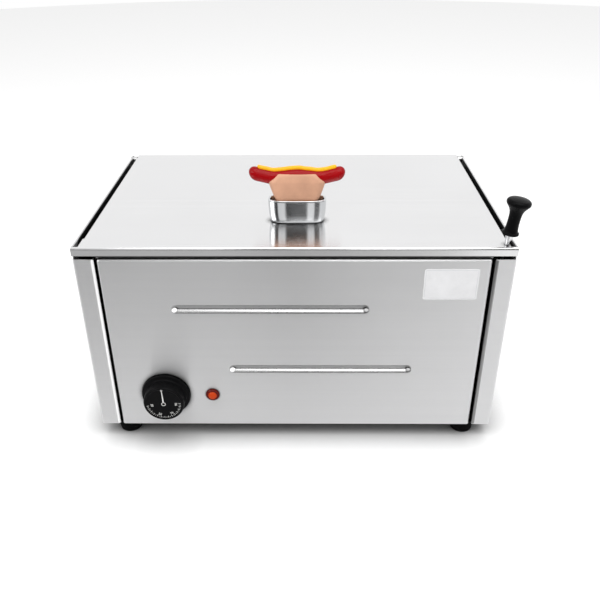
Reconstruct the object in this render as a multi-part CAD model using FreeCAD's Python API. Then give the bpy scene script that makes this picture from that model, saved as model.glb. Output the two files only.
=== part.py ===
"""Countertop hot dog steamer.

A folded sheet metal cabinet on four rubber feet holds a water tank with an
immersed tubular heater. Two perforated pans hang in the tank, one for the
sausages and one for the buns. A lid hinged at the back carries a handle in the
form of a hot dog and, in a hole at its front corner, a bun pick.

Millimetres. The origin is the middle of the footprint on the table, +X is to
the right seen from the front, +Y runs to the back and +Z is up.
"""
import FreeCAD
import Part
import math
import os

# Cabinet
body_width = 450.0
body_depth = 300.0
body_height = 226.0
foot_height = 17.0
shell_sheet = 0.8
fold_radius = 1.4
sheet_gap = 0.2
overrun = 5.0

# Side panels, each with its front post, its rear flange and a hemmed top edge
post_width = 21.0
post_return = 12.0
rear_flange_width = 18.0
hem_width = 2.0
hem_height = 8.0
side_corner_radius = 12.0

# Front panel between the posts, with two pressed beads
post_gap = 3.0
front_return = 12.0
front_corner_radius = 3.0
bead_width = 10.0
bead_depth = 2.4
bead_lip_radius = 0.9
upper_bead_left_inset = 95.0
upper_bead_right_inset = 146.5
upper_bead_drop = 71.0
lower_bead_left_inset = 152.4
lower_bead_right_inset = 96.7
lower_bead_rise = 78.2

# Rear panel laid over the rear flanges
rear_panel_margin = 6.0
rear_panel_corner = 4.0
vent_length = 46.0
vent_width = 5.0
vent_pitch = 13.0
vent_rows = 4
vent_columns = 3
vent_column_pitch = 62.0
vent_rise = 21.0
rear_screw_inset = 10.0
rear_screw_rows = 3

# Base plate with upturned edges
base_flange_height = 15.0
base_notch_width = 8.0
base_slot_length = 60.0
base_slot_width = 6.0
base_slot_pitch = 22.0
base_slot_count = 5

# Feet and their screws
foot_top_radius = 14.0
foot_bottom_radius = 12.5
foot_edge_radius = 1.5
foot_x_inset = 28.4
foot_y_inset = 18.0
foot_recess_radius = 6.0
foot_recess_depth = 8.0
foot_screw_radius = 2.5
foot_screw_clearance = 0.3
foot_head_radius = 4.6
foot_head_height = 3.0
foot_head_shares = [(0, -1), (0.7, -1), (1, -0.5), (1, 0), (0, 0)]
foot_nut_radius = 4.6
foot_nut_height = 4.0
foot_screw_end = 2.0

# Lid
lid_rear_inset = 5.0
lid_sheet = 1.0
lid_band_height = 9.0
lid_band_gap = 4.0
lid_side_gap = 7.0
lid_band_lip = 3.0
lid_band_clearance = 1.0
lid_corner_notch = 20.0
lid_rest_gap = 0.3
lid_nose_radius = 7.0
lid_rear_flange = 4.0

# Lid hinge pins, spacers and clips
hinge_pin_radius = 2.0
hinge_running_gap = 0.05
hinge_head_radius = 4.5
hinge_head_height = 2.0
hinge_head_shares = [(0, 0), (1, 0), (1, 0.4), (0.6, 1), (0, 1)]
hinge_spacer_radius = 4.0
hinge_side_play = 0.3
hinge_boss_radius = 3.4
hinge_boss_chamfer = 1.15
hinge_boss_length = 3.0
hinge_clip_radius = 3.4
hinge_clip_thickness = 1.0
hinge_clip_mouth = 2.8
hinge_pin_tail = 1.0

# Handle: chromed cup, bun, sausage and mustard, held by a stud
handle_x = 2.7
handle_setback = 59.3
cup_width = 59.1
cup_depth = 22.0
cup_height = 26.0
cup_base_width = 52.0
cup_base_depth = 19.0
cup_belly_height = 10.0
cup_belly_width = 57.6
cup_belly_depth = 21.4
cup_wall = 2.6
cup_lip_radius = 1.2
cup_pocket_depth = 7.0
bow_power = 3.4
bow_points = 32
bun_clearance = 0.3
bun_base_width = 41.0
bun_base_depth = 11.0
bun_wide = 57.3
bun_wide_height = 47.4
bun_top_width = 36.8
bun_top_height = 54.3
bun_depth = 21.0
bun_top_depth = 17.4
bun_base_corner = 4.5
bun_wide_corner = 8.0
bun_top_corner = 6.5
bun_edge_radius = 1.2
sausage_radius = 7.5
sausage_length = 101.2
sausage_end_height = 53.0
sausage_dip_height = 48.5
sausage_middle_height = 51.5
sausage_dip_x = 24.5
sausage_clearance = 0.15
sausage_bend = 34.0
mustard_radius = 2.4
mustard_length = 83.0
mustard_sink = 1.7
mustard_bend = 25.5
stud_radius = 3.0
stud_clearance = 0.3
stud_bite = 12.0
stud_tail = 2.0
backing_radius = 12.0
backing_thickness = 1.5
stud_nut_radius = 5.6
stud_nut_height = 5.0

# Bun pick: black grip, tapered ferrule and steel spike, standing in the lid
pick_side_inset = 10.4
pick_inset = 8.5
pick_lean = 7.0
pick_hole_radius = 2.3
pick_hole_gap = 0.1
pick_spike_length = 50.0
pick_spike_radius = 2.0
pick_point_length = 9.0
pick_point_radius = 0.4
pick_ferrule_length = 12.0
pick_ferrule_radius = 4.2
pick_tang_radius = 2.2
pick_tang_length = 22.0
grip_collar_radius = 8.6
grip_collar_height = 2.6
grip_waist_radius = 6.0
grip_waist_start = 6.5
grip_neck_height = 25.0
grip_neck_radius = 6.7
grip_head_radius = 12.1
grip_head_height = 32.4
grip_rim_height = 2.6
grip_dome_height = 2.8
grip_edge_radius = 1.0
grip_waist_bulge = 0.4
grip_flare_bulge = 1.3

# Control knob and thermostat
knob_side_inset = 79.0
knob_rise = 43.5
knob_skirt_radius = 27.0
knob_skirt_height = 4.0
knob_face_radius = 22.5
knob_length = 20.0
knob_gap = 1.0
knob_edge_radius = 1.6
knob_dish_depth = 0.8
knob_dish_radius = 20.5
knob_wall = 2.4
knob_face_wall = 4.8
knob_boss_radius = 7.0
knob_boss_setback = 3.0
shaft_radius = 3.0
shaft_flat_depth = 1.5
shaft_running_gap = 0.08
shaft_engagement = 10.0
shaft_bite = 10.0
shaft_hole_radius = 5.0
thermostat_width = 44.0
thermostat_height = 36.0
thermostat_depth = 30.0
thermostat_corner = 4.0
thermostat_neck_radius = 4.6
thermostat_plate_sheet = 1.2
thermostat_plate_width = 44.0
thermostat_plate_height = 20.0
thermostat_screw_span = 28.0
thermostat_screw_radius = 2.0
thermostat_screw_head = 3.6
thermostat_screw_head_height = 1.6
thermostat_tab_span = 22.0
thermostat_tab_width = 6.3
thermostat_tab_length = 8.0
thermostat_tab_sheet = 0.8
capillary_radius = 1.0
capillary_bend = 6.0
capillary_offset = 11.0
bulb_radius = 3.0
bulb_length = 90.0
bulb_inset = 40.0
bulb_offset = 44.0
bulb_clip_width = 12.0
bulb_clip_sheet = 0.8
bulb_clip_span = 18.0

# Pilot lamp
lamp_pitch = 52.5
lamp_rise = 42.7
lamp_bezel_radius = 7.5
lamp_bezel_height = 2.6
lamp_bezel_edge = 0.8
lamp_lens_radius = 4.9
lamp_lens_height = 2.6
lamp_lens_gap = 0.15
lamp_dome_shares = [(0.75, 0.65), (0.4, 0.93), (0, 1)]
lamp_body_radius = 5.4
lamp_hole_radius = 5.6
lamp_body_length = 26.0
lamp_clip_radius = 7.4
lamp_clip_thickness = 2.0
lamp_tab_width = 4.8
lamp_tab_length = 7.0
lamp_tab_sheet = 0.8
lamp_tab_span = 5.4

# Water tank
tank_sheet = 1.0
tank_side_inset = 15.0
tank_front_inset = 18.0
tank_rear_inset = 24.0
tank_floor_rise = 89.0
tank_corner_radius = 24.0
tank_floor_radius = 10.0
rim_side_gap = 0.7
rim_front_inset = 4.0
rim_rear_inset = 3.0
rim_corner_cut = 22.0

# Angle rails that carry the tank rim
rail_width = 11.0
rail_height = 14.0
rail_sheet = 1.2
rail_end_inset = 14.0
rear_rail_end_inset = 24.0

# Heating element
element_radius = 4.0
element_clearance = 12.0
element_left_inset = 42.0
element_right_inset = 64.0
element_lead_length = 46.0
element_front_inset = 60.0
element_rear_inset = 60.0
element_bend = 12.0
element_passes = 4
element_end_drop = 26.0
element_pin_radius = 1.6
element_pin_length = 9.0
element_flange_radius = 10.0
element_flange_height = 3.0
element_nut_radius = 9.5
element_nut_height = 6.0
element_hole_gap = 0.3

# Pans and the bar between them
bar_width = 30.0
bar_height = 12.0
bar_sheet = 1.0
bar_front_inset = 5.0
bar_rear_inset = 15.0
pan_sheet = 0.7
pan_rest_gap = 0.2
pan_side_gap = 3.0
pan_rim_overlap = 6.0
pan_bar_edge = 7.0
pan_bar_gap = 1.2
pan_corner_radius = 20.0
pan_floor_radius = 8.0
pan_rim_corner = 24.0
sausage_pan_floor_rise = 34.2
bun_pan_floor_rise = 64.2
pan_hole_radius = 4.5
pan_hole_columns = 6
pan_hole_rows = 7
pan_hole_pitch = 26.0
grip_slot_length = 40.0
grip_slot_width = 9.0
grip_slot_drop = 18.0

# Wiring parts on the base and cable entry in the rear panel
block_side_inset = 75.0
block_rear_inset = 55.0
block_length = 36.0
block_width = 20.0
block_height = 10.0
block_tower_height = 8.0
block_tower_width = 9.0
block_tower_span = 10.0
block_poles = 3
block_screw_radius = 1.9
block_screw_height = 1.5
earth_side_inset = 115.0
earth_rear_inset = 50.0
earth_radius = 2.0
earth_height = 14.0
earth_nut_radius = 4.0
earth_nut_height = 3.2
gland_side_inset = 60.0
gland_rise = 35.0
gland_bore = 4.0
gland_thread_radius = 8.0
gland_hex_radius = 12.0
gland_hex_height = 6.0
gland_dome_radius = 10.0
gland_dome_height = 10.0
gland_dome_shares = [(0, 0), (1, 0), (1, 0.55), (0.72, 1), (0, 1)]
gland_tail = 10.0
gland_nut_height = 5.0
gland_hole_gap = 0.2

# Small screws that hold the rear panel
screw_radius = 1.9
screw_head_radius = 3.8
screw_head_height = 1.8
screw_head_shares = [(0, 0), (1, 0), (0.8, 0.7), (0.4, 1), (0, 1)]
screw_length = 8.0
screw_gap = 0.2

# Levels and planes that follow from the sizes above
z_base = foot_height
z_top = foot_height + body_height
z_shell = z_top - lid_band_height - lid_band_gap
z_rim = z_shell + tank_sheet
z_lid_flange = z_rim + lid_rest_gap
z_pivot = z_lid_flange + lid_nose_radius
z_tank_floor = z_base + tank_floor_rise
side_x = body_width / 2
front_y = -body_depth / 2
rear_y = body_depth / 2
lid_x = side_x - lid_side_gap
lid_rear_y = rear_y - lid_rear_inset
pivot_y = lid_rear_y - lid_nose_radius
inner_side_x = side_x - shell_sheet
post_inner_x = side_x - post_width
front_x = post_inner_x - post_gap
tank_front_y = front_y + tank_front_inset
tank_rear_y = rear_y - tank_rear_inset
handle_y = front_y + handle_setback + cup_depth / 2
z_cup = z_top + cup_height
knob_x = -side_x + knob_side_inset
knob_z = z_base + knob_rise
lamp_x = knob_x + lamp_pitch
lamp_z = z_base + lamp_rise
upper_bead = (-side_x + upper_bead_left_inset, side_x - upper_bead_right_inset, z_top - upper_bead_drop)
lower_bead = (-side_x + lower_bead_left_inset, side_x - lower_bead_right_inset, z_base + lower_bead_rise)
tank_half_width = side_x - tank_side_inset
pick_x = side_x - pick_side_inset
foot_x = side_x - foot_x_inset
block_x = side_x - block_side_inset
block_y = rear_y - block_rear_inset
earth_x = side_x - earth_side_inset
earth_y = rear_y - earth_rear_inset
gland_x = side_x - gland_side_inset
gland_z = z_base + gland_rise

X = FreeCAD.Vector(1, 0, 0)
Y = FreeCAD.Vector(0, 1, 0)
Z = FreeCAD.Vector(0, 0, 1)


def vec(x, y, z):
    """A point or a direction."""
    return FreeCAD.Vector(x, y, z)


def box(x0, x1, y0, y1, z0, z1):
    """A block between two planes on each axis."""
    return Part.makeBox(x1 - x0, y1 - y0, z1 - z0, vec(x0, y0, z0))


def rod(radius, start, axis, length):
    """A round bar from a point along an axis."""
    return Part.makeCylinder(radius, length, start, axis)


def hex_bar(radius, start, axis, length):
    """A six-sided bar whose corners lie on the given radius."""
    turn = FreeCAD.Rotation(Z, axis)
    corners = [start + turn.multVec(vec(radius * math.cos(math.pi * k / 3), radius * math.sin(math.pi * k / 3), 0))
               for k in range(7)]
    return Part.Face(Part.makePolygon(corners)).extrude(axis * length)


def fuse(shapes):
    """All the given shapes as one solid with its seams merged."""
    result = shapes[0]
    if len(shapes) > 1:
        result = shapes[0].multiFuse(shapes[1:])
    return result.removeSplitter()


def cut(shape, cutters):
    """A shape with cutters taken away."""
    return shape.cut(Part.makeCompound(cutters)) if cutters else shape


def mirrored(shape):
    """The same shape on the other side of the middle plane."""
    return shape.mirror(vec(0, 0, 0), X)


def arc_edge(centre, radius, start, end):
    """The shorter arc about a centre between two directions."""
    middle = (start + end).normalize()
    return Part.Arc(centre + start * radius, centre + middle * radius, centre + end * radius).toShape()


def folded_strip(points, sheet, radius, side):
    """The section of a folded sheet as a face.

    points runs along one surface of the sheet in its own plane, and side is 1
    when the metal lies to the left of that walk and -1 when it lies to the right.
    """
    count = len(points)
    along = [(points[k + 1] - points[k]).normalize() for k in range(count - 1)]
    normal = along[0].cross(along[1]) if count > 2 else Z
    normal = normal.normalize()
    facing = normal if normal.dot(vec(1, 1, 1)) > 0 else normal * -1
    across = [facing.cross(step) * side for step in along]
    near = [points[0]]
    far = [points[0] + across[0] * sheet]
    near_edges = []
    far_edges = []
    for k in range(1, count - 1):
        inward = across[k - 1].dot(along[k]) > 0
        near_radius = radius + sheet if inward else radius
        far_radius = radius if inward else radius + sheet
        half = along[k - 1].getAngle(along[k]) / 2
        reach = near_radius * math.tan(half)
        out = across[k - 1] if inward else across[k - 1] * -1
        out_next = across[k] if inward else across[k] * -1
        centre = points[k] - along[k - 1] * reach + out * near_radius
        near_start = centre - out * near_radius
        near_end = centre - out_next * near_radius
        far_start = centre - out * far_radius
        far_end = centre - out_next * far_radius
        near_edges += [Part.LineSegment(near[-1], near_start).toShape(),
                       arc_edge(centre, near_radius, out * -1, out_next * -1)]
        far_edges += [Part.LineSegment(far[-1], far_start).toShape(),
                      arc_edge(centre, far_radius, out * -1, out_next * -1)]
        near.append(near_end)
        far.append(far_end)
    near_edges.append(Part.LineSegment(near[-1], points[-1]).toShape())
    far_last = points[-1] + across[-1] * sheet
    far_edges.append(Part.LineSegment(far[-1], far_last).toShape())
    ends = [Part.LineSegment(points[0], points[0] + across[0] * sheet).toShape(),
            Part.LineSegment(points[-1], far_last).toShape()]
    return Part.Face(Part.Wire(Part.__sortEdges__(near_edges + far_edges + ends)))


def rounded_outline(x0, x1, y0, y1, radius, z):
    """A rectangle with round corners, lying flat at a height."""
    corners = [(x1 - radius, y1 - radius, 0), (x0 + radius, y1 - radius, 1),
               (x0 + radius, y0 + radius, 2), (x1 - radius, y0 + radius, 3)]
    edges = []
    last = None
    first = None
    for cx, cy, quarter in corners:
        angles = [math.pi / 2 * quarter, math.pi / 2 * (quarter + 0.5), math.pi / 2 * (quarter + 1)]
        ring = [vec(cx + radius * math.cos(a), cy + radius * math.sin(a), z) for a in angles]
        if last:
            edges.append(Part.LineSegment(last, ring[0]).toShape())
        else:
            first = ring[0]
        edges.append(Part.Arc(*ring).toShape())
        last = ring[2]
    edges.append(Part.LineSegment(last, first).toShape())
    return Part.Wire(edges)


def rounded_plate(x0, x1, y0, y1, radius, z, sheet):
    """A flat plate with round corners."""
    return Part.Face(rounded_outline(x0, x1, y0, y1, radius, z)).extrude(Z * sheet)


def slot(start, end, radius, axis, depth):
    """A cutter with round ends, from one centre to the other."""
    along = (end - start).normalize()
    across = axis.cross(along)
    edges = [Part.LineSegment(start + across * radius, end + across * radius).toShape(),
             Part.Arc(end + across * radius, end + along * radius, end - across * radius).toShape(),
             Part.LineSegment(end - across * radius, start - across * radius).toShape(),
             Part.Arc(start - across * radius, start - along * radius, start + across * radius).toShape()]
    return Part.Face(Part.Wire(edges)).extrude(axis * depth)


def turned(profile, start, axis):
    """A turned piece from (radius, height) points, heights along the axis."""
    outline = [vec(radius, 0, height) for radius, height in profile]
    outline.append(outline[0])
    solid = Part.Face(Part.makePolygon(outline)).revolve(vec(0, 0, 0), Z, 360)
    solid.Placement = FreeCAD.Placement(start, FreeCAD.Rotation(Z, axis))
    return solid


def shaped(shares, radius, height):
    """Profile points from shares of a radius and a height."""
    return [(radius * across, height * up) for across, up in shares]


def tube(points, radius, bend):
    """A round tube along straight runs joined by tangent arcs."""
    edges = []
    last = points[0]
    for k in range(1, len(points) - 1):
        back = (points[k - 1] - points[k]).normalize()
        ahead = (points[k + 1] - points[k]).normalize()
        half = back.getAngle(ahead) / 2
        reach = bend / math.tan(half)
        bisector = (back + ahead).normalize()
        centre = points[k] + bisector * (bend / math.sin(half))
        start = points[k] + back * reach
        end = points[k] + ahead * reach
        edges.append(Part.LineSegment(last, start).toShape())
        edges.append(Part.Arc(start, centre - bisector * bend, end).toShape())
        last = end
    edges.append(Part.LineSegment(last, points[-1]).toShape())
    path = Part.Wire(edges)
    ring = Part.Wire(Part.makeCircle(radius, points[0], points[1] - points[0]))
    return path.makePipeShell([ring], True, False)


def edges_at(shape, test):
    """The edges of a shape whose points all pass a test."""
    return [edge for edge in shape.Edges if all(test(v.Point) for v in edge.Vertexes)]


def near(value, target):
    """True when two lengths agree within a hundredth of a sheet."""
    return abs(value - target) < shell_sheet / 100


def pan(x0, x1, y0, y1, z0, z1, corner, floor_radius, sheet):
    """An open pressed pan with round upright corners and a round floor edge."""
    block = rounded_plate(x0, x1, y0, y1, corner, z0, z1 - z0)
    floor_edges = edges_at(block, lambda p: near(p.z, z0))
    block = block.makeFillet(floor_radius, floor_edges)
    hollow = rounded_plate(x0 + sheet, x1 - sheet, y0 + sheet, y1 - sheet, corner - sheet,
                           z0 + sheet, z1 - z0)
    hollow_edges = edges_at(hollow, lambda p: near(p.z, z0 + sheet))
    hollow = hollow.makeFillet(floor_radius - sheet, hollow_edges)
    return block.cut(hollow)


# Cabinet
def side_panel():
    """Right side wall with its front post, rear flange and hemmed top edge."""
    walk = [vec(post_inner_x, front_y + post_return, z_base), vec(post_inner_x, front_y, z_base),
            vec(side_x, front_y, z_base), vec(side_x, rear_y, z_base),
            vec(side_x - rear_flange_width, rear_y, z_base)]
    folded = folded_strip(walk, shell_sheet, fold_radius, 1).extrude(Z * (z_shell - z_base))
    wall_front_y = front_y + lid_band_lip + lid_band_clearance
    upper = box(inner_side_x, side_x, wall_front_y, rear_y, z_shell - overrun, z_top)
    corner = edges_at(upper, lambda p: near(p.y, rear_y) and near(p.z, z_top))
    upper = upper.makeFillet(side_corner_radius, corner)
    lower_limit = rear_y - fold_radius - shell_sheet
    upper = upper.cut(box(inner_side_x - overrun, side_x + overrun, lower_limit, rear_y + overrun,
                          z_shell - overrun, z_shell))
    hem_end = pivot_y - hinge_head_radius - sheet_gap
    hem = box(side_x - hem_width, side_x, wall_front_y, hem_end, z_top - hem_height, z_top)
    hem_top = edges_at(hem, lambda p: near(p.z, z_top))
    hem_top = [edge for edge in hem_top if edge.Length > hem_width * 2]
    hem = hem.makeFillet(hem_width / 2 - sheet_gap, hem_top)
    upper = cut(upper, [box(inner_side_x - overrun, side_x + overrun, wall_front_y - overrun, hem_end,
                            z_top - hem_height / 2, z_top + overrun)])
    panel = fuse([folded, upper, hem])
    pin_hole = rod(hinge_pin_radius + hinge_running_gap, vec(inner_side_x - overrun, pivot_y, z_pivot), X,
                   shell_sheet + overrun * 2)
    screw_holes = [rod(screw_radius + screw_gap, vec(x, rear_y - overrun, z), Y, overrun * 2)
                   for x, z in rear_screw_places() if x > 0]
    return cut(panel, [pin_hole] + screw_holes)


def front_panel():
    """Front panel folded back at its top and sides, with two pressed beads."""
    block = box(-front_x, front_x, front_y, front_y + front_return, z_base - overrun, z_shell)
    outer_edges = edges_at(block, lambda p: near(p.y, front_y) and p.z > z_base)
    outer_edges += edges_at(block, lambda p: near(abs(p.x), front_x) and near(p.y, front_y))
    corner_edges = edges_at(block, lambda p: near(abs(p.x), front_x) and near(p.z, z_shell))
    block = block.makeFillet(front_corner_radius, outer_edges + corner_edges)
    hollow = box(-front_x + shell_sheet, front_x - shell_sheet, front_y + shell_sheet,
                 front_y + front_return + overrun, z_base - overrun * 2, z_shell - shell_sheet)
    inner_radius = front_corner_radius - shell_sheet
    inner_front = front_y + shell_sheet
    hollow_edges = edges_at(hollow, lambda p: near(p.y, inner_front) and p.z > z_base)
    hollow_edges += edges_at(hollow, lambda p: near(abs(p.x), front_x - shell_sheet) and near(p.y, inner_front))
    hollow_edges += edges_at(hollow, lambda p: near(abs(p.x), front_x - shell_sheet)
                             and near(p.z, z_shell - shell_sheet))
    hollow = hollow.makeFillet(inner_radius, hollow_edges)
    panel = block.cut(hollow)
    panel = panel.cut(box(-side_x, side_x, front_y - overrun, rear_y, z_base - overrun * 3, z_base))
    for left, right, height in (upper_bead, lower_bead):
        panel = pressed_bead(panel, left, right, height)
    holes = [rod(shaft_hole_radius, vec(knob_x, front_y - overrun, knob_z), Y, overrun * 2),
             rod(lamp_hole_radius, vec(lamp_x, front_y - overrun, lamp_z), Y, overrun * 2)]
    holes += [rod(thermostat_screw_radius + screw_gap, vec(x, front_y - overrun, knob_z), Y, overrun * 2)
              for x in thermostat_screw_places()]
    return cut(panel, holes)


def pressed_bead(panel, left, right, height):
    """The panel with one round-ended bead pressed into its face."""
    half = bead_width / 2
    radius = (half ** 2 + bead_depth ** 2) / (2 * bead_depth)
    axis_y = front_y - (radius - bead_depth)
    ends = [vec(left + half, axis_y, height), vec(right - half, axis_y, height)]
    length = right - left - bead_width

    def capsule(size):
        return fuse([rod(size, ends[0], X, length), Part.makeSphere(size, ends[0]), Part.makeSphere(size, ends[1])])

    behind = box(left - bead_width, right + bead_width, front_y + shell_sheet / 2, front_y + bead_width,
                 height - bead_width, height + bead_width)
    raised = capsule(radius + shell_sheet).common(behind)
    pressed = fuse([panel, raised]).cut(capsule(radius))
    lip = edges_at(pressed, lambda p: near(p.y, front_y) and near(abs(p.z - height), half))
    return pressed.makeFillet(bead_lip_radius, lip)


def rear_screw_places():
    """Centres of the rear panel's screws."""
    low = z_base + rear_screw_inset
    high = z_shell - rear_screw_inset
    x = side_x - rear_flange_width / 2 - rear_panel_margin / 2
    step = (high - low) / (rear_screw_rows - 1)
    return [(side * x, low + step * k) for side in (-1, 1) for k in range(rear_screw_rows)]


def rear_panel():
    """Flat rear panel with rows of vent slots and the cable entry hole."""
    half = side_x - rear_panel_margin
    turn = FreeCAD.Placement(vec(0, rear_y + shell_sheet, 0), FreeCAD.Rotation(X, 90))
    plate = rounded_plate(-half, half, z_base, z_shell - sheet_gap, rear_panel_corner, 0, shell_sheet)
    plate.Placement = turn
    cutters = [rod(screw_radius + screw_gap, vec(x, rear_y - overrun, z), Y, overrun * 2)
               for x, z in rear_screw_places()]
    for column in range(vent_columns):
        middle = -half + vent_column_pitch * (column + 1)
        for row in range(vent_rows):
            z = z_base + vent_rise + vent_pitch * row
            start = vec(middle - vent_length / 2 + vent_width / 2, rear_y - overrun, z)
            end = vec(middle + vent_length / 2 - vent_width / 2, rear_y - overrun, z)
            cutters.append(slot(start, end, vent_width / 2, Y, overrun * 2))
    cutters.append(rod(gland_thread_radius + gland_hole_gap, vec(gland_x, rear_y - overrun, gland_z), Y,
                       overrun * 2))
    return cut(plate, cutters)


def base_plate():
    """Base plate with upturned edges, notched round the folded uprights."""
    edge_x = inner_side_x - sheet_gap
    edge_front = front_y + shell_sheet + sheet_gap
    edge_rear = rear_y - shell_sheet - sheet_gap
    notch_x = front_x - front_corner_radius - sheet_gap
    notch_y = front_return + sheet_gap
    top = z_base + base_flange_height
    across = [vec(-edge_x, edge_front, top), vec(-edge_x, edge_front, z_base),
              vec(edge_x, edge_front, z_base), vec(edge_x, edge_front, top)]
    along = [vec(-notch_x, edge_front, top), vec(-notch_x, edge_front, z_base),
             vec(-notch_x, edge_rear, z_base), vec(-notch_x, edge_rear, top)]
    wide = folded_strip(across, shell_sheet, fold_radius, -1).extrude(Y * (edge_rear - edge_front))
    deep = folded_strip(along, shell_sheet, fold_radius, 1).extrude(X * (notch_x * 2))
    relief = fold_radius + shell_sheet
    wide = cut(wide, [box(-side_x, side_x, front_y, front_y + notch_y + relief, z_base - overrun, top + overrun),
                      box(-side_x, side_x, rear_y - notch_y - relief, rear_y, z_base - overrun, top + overrun)])
    floor = box(-edge_x + relief, edge_x - relief, front_y + notch_y, rear_y - notch_y, z_base, z_base + shell_sheet)
    plate = fuse([wide, deep, floor])
    cutters = [rod(foot_screw_radius + foot_screw_clearance, vec(x, y, z_base - overrun), Z, overrun * 2)
               for x, y in foot_places()]
    for k in range(base_slot_count):
        x = (k - (base_slot_count - 1) / 2) * base_slot_pitch
        start = vec(x, -base_slot_length / 2, z_base - overrun)
        cutters.append(slot(start, start + Y * base_slot_length, base_slot_width / 2, Z, overrun * 2))
    cutters.append(rod(earth_radius + screw_gap, vec(earth_x, earth_y, z_base - overrun), Z, overrun * 2))
    return cut(plate, cutters)


def foot_places():
    """Centres of the feet, front pair first."""
    y = body_depth / 2 - foot_y_inset
    return [(-foot_x, -y), (foot_x, -y), (-foot_x, y), (foot_x, y)]


def foot(x, y):
    """Tapered rubber foot with a recess for its screw head."""
    solid = Part.makeCone(foot_bottom_radius, foot_top_radius, foot_height, vec(x, y, 0), Z)
    rim = edges_at(solid, lambda p: near(p.z, 0))
    solid = solid.makeFillet(foot_edge_radius, rim)
    recess = rod(foot_recess_radius, vec(x, y, -overrun), Z, foot_recess_depth + overrun)
    hole = rod(foot_screw_radius + foot_screw_clearance, vec(x, y, -overrun), Z, foot_height + overrun * 2)
    return cut(solid, [recess, hole])


def foot_screw(x, y):
    """Screw up through a foot, with its head in the foot's recess."""
    head_z = foot_recess_depth
    length = z_base + shell_sheet + foot_nut_height + foot_screw_end - head_z
    head = turned(shaped(foot_head_shares, foot_head_radius, foot_head_height), vec(x, y, head_z), Z)
    return fuse([head, rod(foot_screw_radius, vec(x, y, head_z), Z, length)])


def foot_nut(x, y):
    """Nut on a foot screw, inside the cabinet."""
    start = vec(x, y, z_base + shell_sheet)
    body = hex_bar(foot_nut_radius, start, Z, foot_nut_height)
    return body.cut(rod(foot_screw_radius + screw_gap, start - Z * overrun, Z, foot_nut_height + overrun * 2))


# Lid and its hinge
def lid_panel():
    """Lid pressed from one sheet, with a front band as wide as the cabinet."""
    inside_y = front_y + lid_corner_notch
    across = [vec(-lid_x, inside_y, z_lid_flange), vec(-lid_x, inside_y, z_top),
              vec(lid_x, inside_y, z_top), vec(lid_x, inside_y, z_lid_flange)]
    wide = folded_strip(across, lid_sheet, fold_radius, 1).extrude(Y * (lid_rear_y - inside_y))
    relief = fold_radius + lid_sheet
    along = [vec(-lid_x + relief, front_y, z_top - lid_band_height), vec(-lid_x + relief, front_y, z_top),
             vec(-lid_x + relief, lid_rear_y, z_top), vec(-lid_x + relief, lid_rear_y, z_top - lid_rear_flange)]
    deep = folded_strip(along, lid_sheet, fold_radius, -1).extrude(X * (lid_x - relief) * 2)
    ends = [vec(-side_x, front_y, z_top - lid_band_height), vec(-side_x, front_y, z_top),
            vec(-side_x, front_y + lid_band_lip, z_top)]
    band = folded_strip(ends, lid_sheet, fold_radius, -1).extrude(X * body_width)
    corners = box(-lid_x, lid_x, front_y + relief, inside_y + relief, z_top - lid_sheet, z_top)
    lid = fuse([wide, deep, band, corners])
    nose = box(lid_x - overrun, lid_x + overrun, pivot_y, lid_rear_y + overrun, z_lid_flange - overrun, z_pivot)
    nose = nose.cut(rod(lid_nose_radius, vec(lid_x - overrun, pivot_y, z_pivot), X, overrun * 2))
    bend_y = lid_rear_y - relief
    bend_z = z_top - relief
    rear_bend = box(-side_x, side_x, bend_y, lid_rear_y + overrun, bend_z, z_top + overrun)
    rear_bend = rear_bend.cut(rod(relief, vec(-side_x, bend_y, bend_z), X, body_width))
    pin_hole = rod(hinge_pin_radius + hinge_running_gap, vec(-side_x, pivot_y, z_pivot), X, body_width)
    stud_hole = rod(stud_radius + stud_clearance, vec(handle_x, handle_y, z_top - overrun), Z, overrun * 2)
    pick_start = pick_seat() - pick_axis() * overrun
    pick_hole = rod(pick_hole_radius, pick_start, pick_axis(), overrun * 2)
    return cut(lid, [nose, mirrored(nose), rear_bend, pin_hole, stud_hole, pick_hole])


def hinge_pin():
    """Right hinge pin: a headed rivet from outside the cabinet."""
    inner_end = lid_x - lid_sheet - hinge_boss_length - hinge_clip_thickness - hinge_pin_tail
    head = turned(shaped(hinge_head_shares, hinge_head_radius, hinge_head_height),
                  vec(side_x, pivot_y, z_pivot), X)
    return fuse([head, rod(hinge_pin_radius, vec(inner_end, pivot_y, z_pivot), X, side_x - inner_end)])


def hinge_spacer():
    """Right spacer sleeve between the side wall and the lid."""
    start = lid_x + hinge_side_play
    length = inner_side_x - start
    sleeve = rod(hinge_spacer_radius, vec(start, pivot_y, z_pivot), X, length)
    return sleeve.cut(rod(hinge_pin_radius + hinge_running_gap, vec(start - overrun, pivot_y, z_pivot), X,
                          length + overrun * 2))


def hinge_boss():
    """Right bearing ring welded inside the lid's flange."""
    start = lid_x - lid_sheet - hinge_boss_length
    ring = rod(hinge_boss_radius, vec(start, pivot_y, z_pivot), X, hinge_boss_length)
    outer = edges_at(ring, lambda p: near(p.x, start + hinge_boss_length))
    ring = ring.makeChamfer(hinge_boss_chamfer, outer)
    return ring.cut(rod(hinge_pin_radius + hinge_running_gap, vec(start - overrun, pivot_y, z_pivot), X,
                        hinge_boss_length + overrun * 2))


def hinge_clip():
    """Right spring clip on the pin's inner end."""
    start = lid_x - lid_sheet - hinge_boss_length - hinge_side_play - hinge_clip_thickness
    ring = rod(hinge_clip_radius, vec(start, pivot_y, z_pivot), X, hinge_clip_thickness)
    mouth = box(start - overrun, start + overrun, pivot_y - hinge_clip_mouth / 2,
                pivot_y + hinge_clip_mouth / 2, z_pivot - hinge_clip_radius * 2, z_pivot)
    bore = rod(hinge_pin_radius, vec(start - overrun, pivot_y, z_pivot), X, overrun * 3)
    return cut(ring, [bore, mouth])


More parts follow.
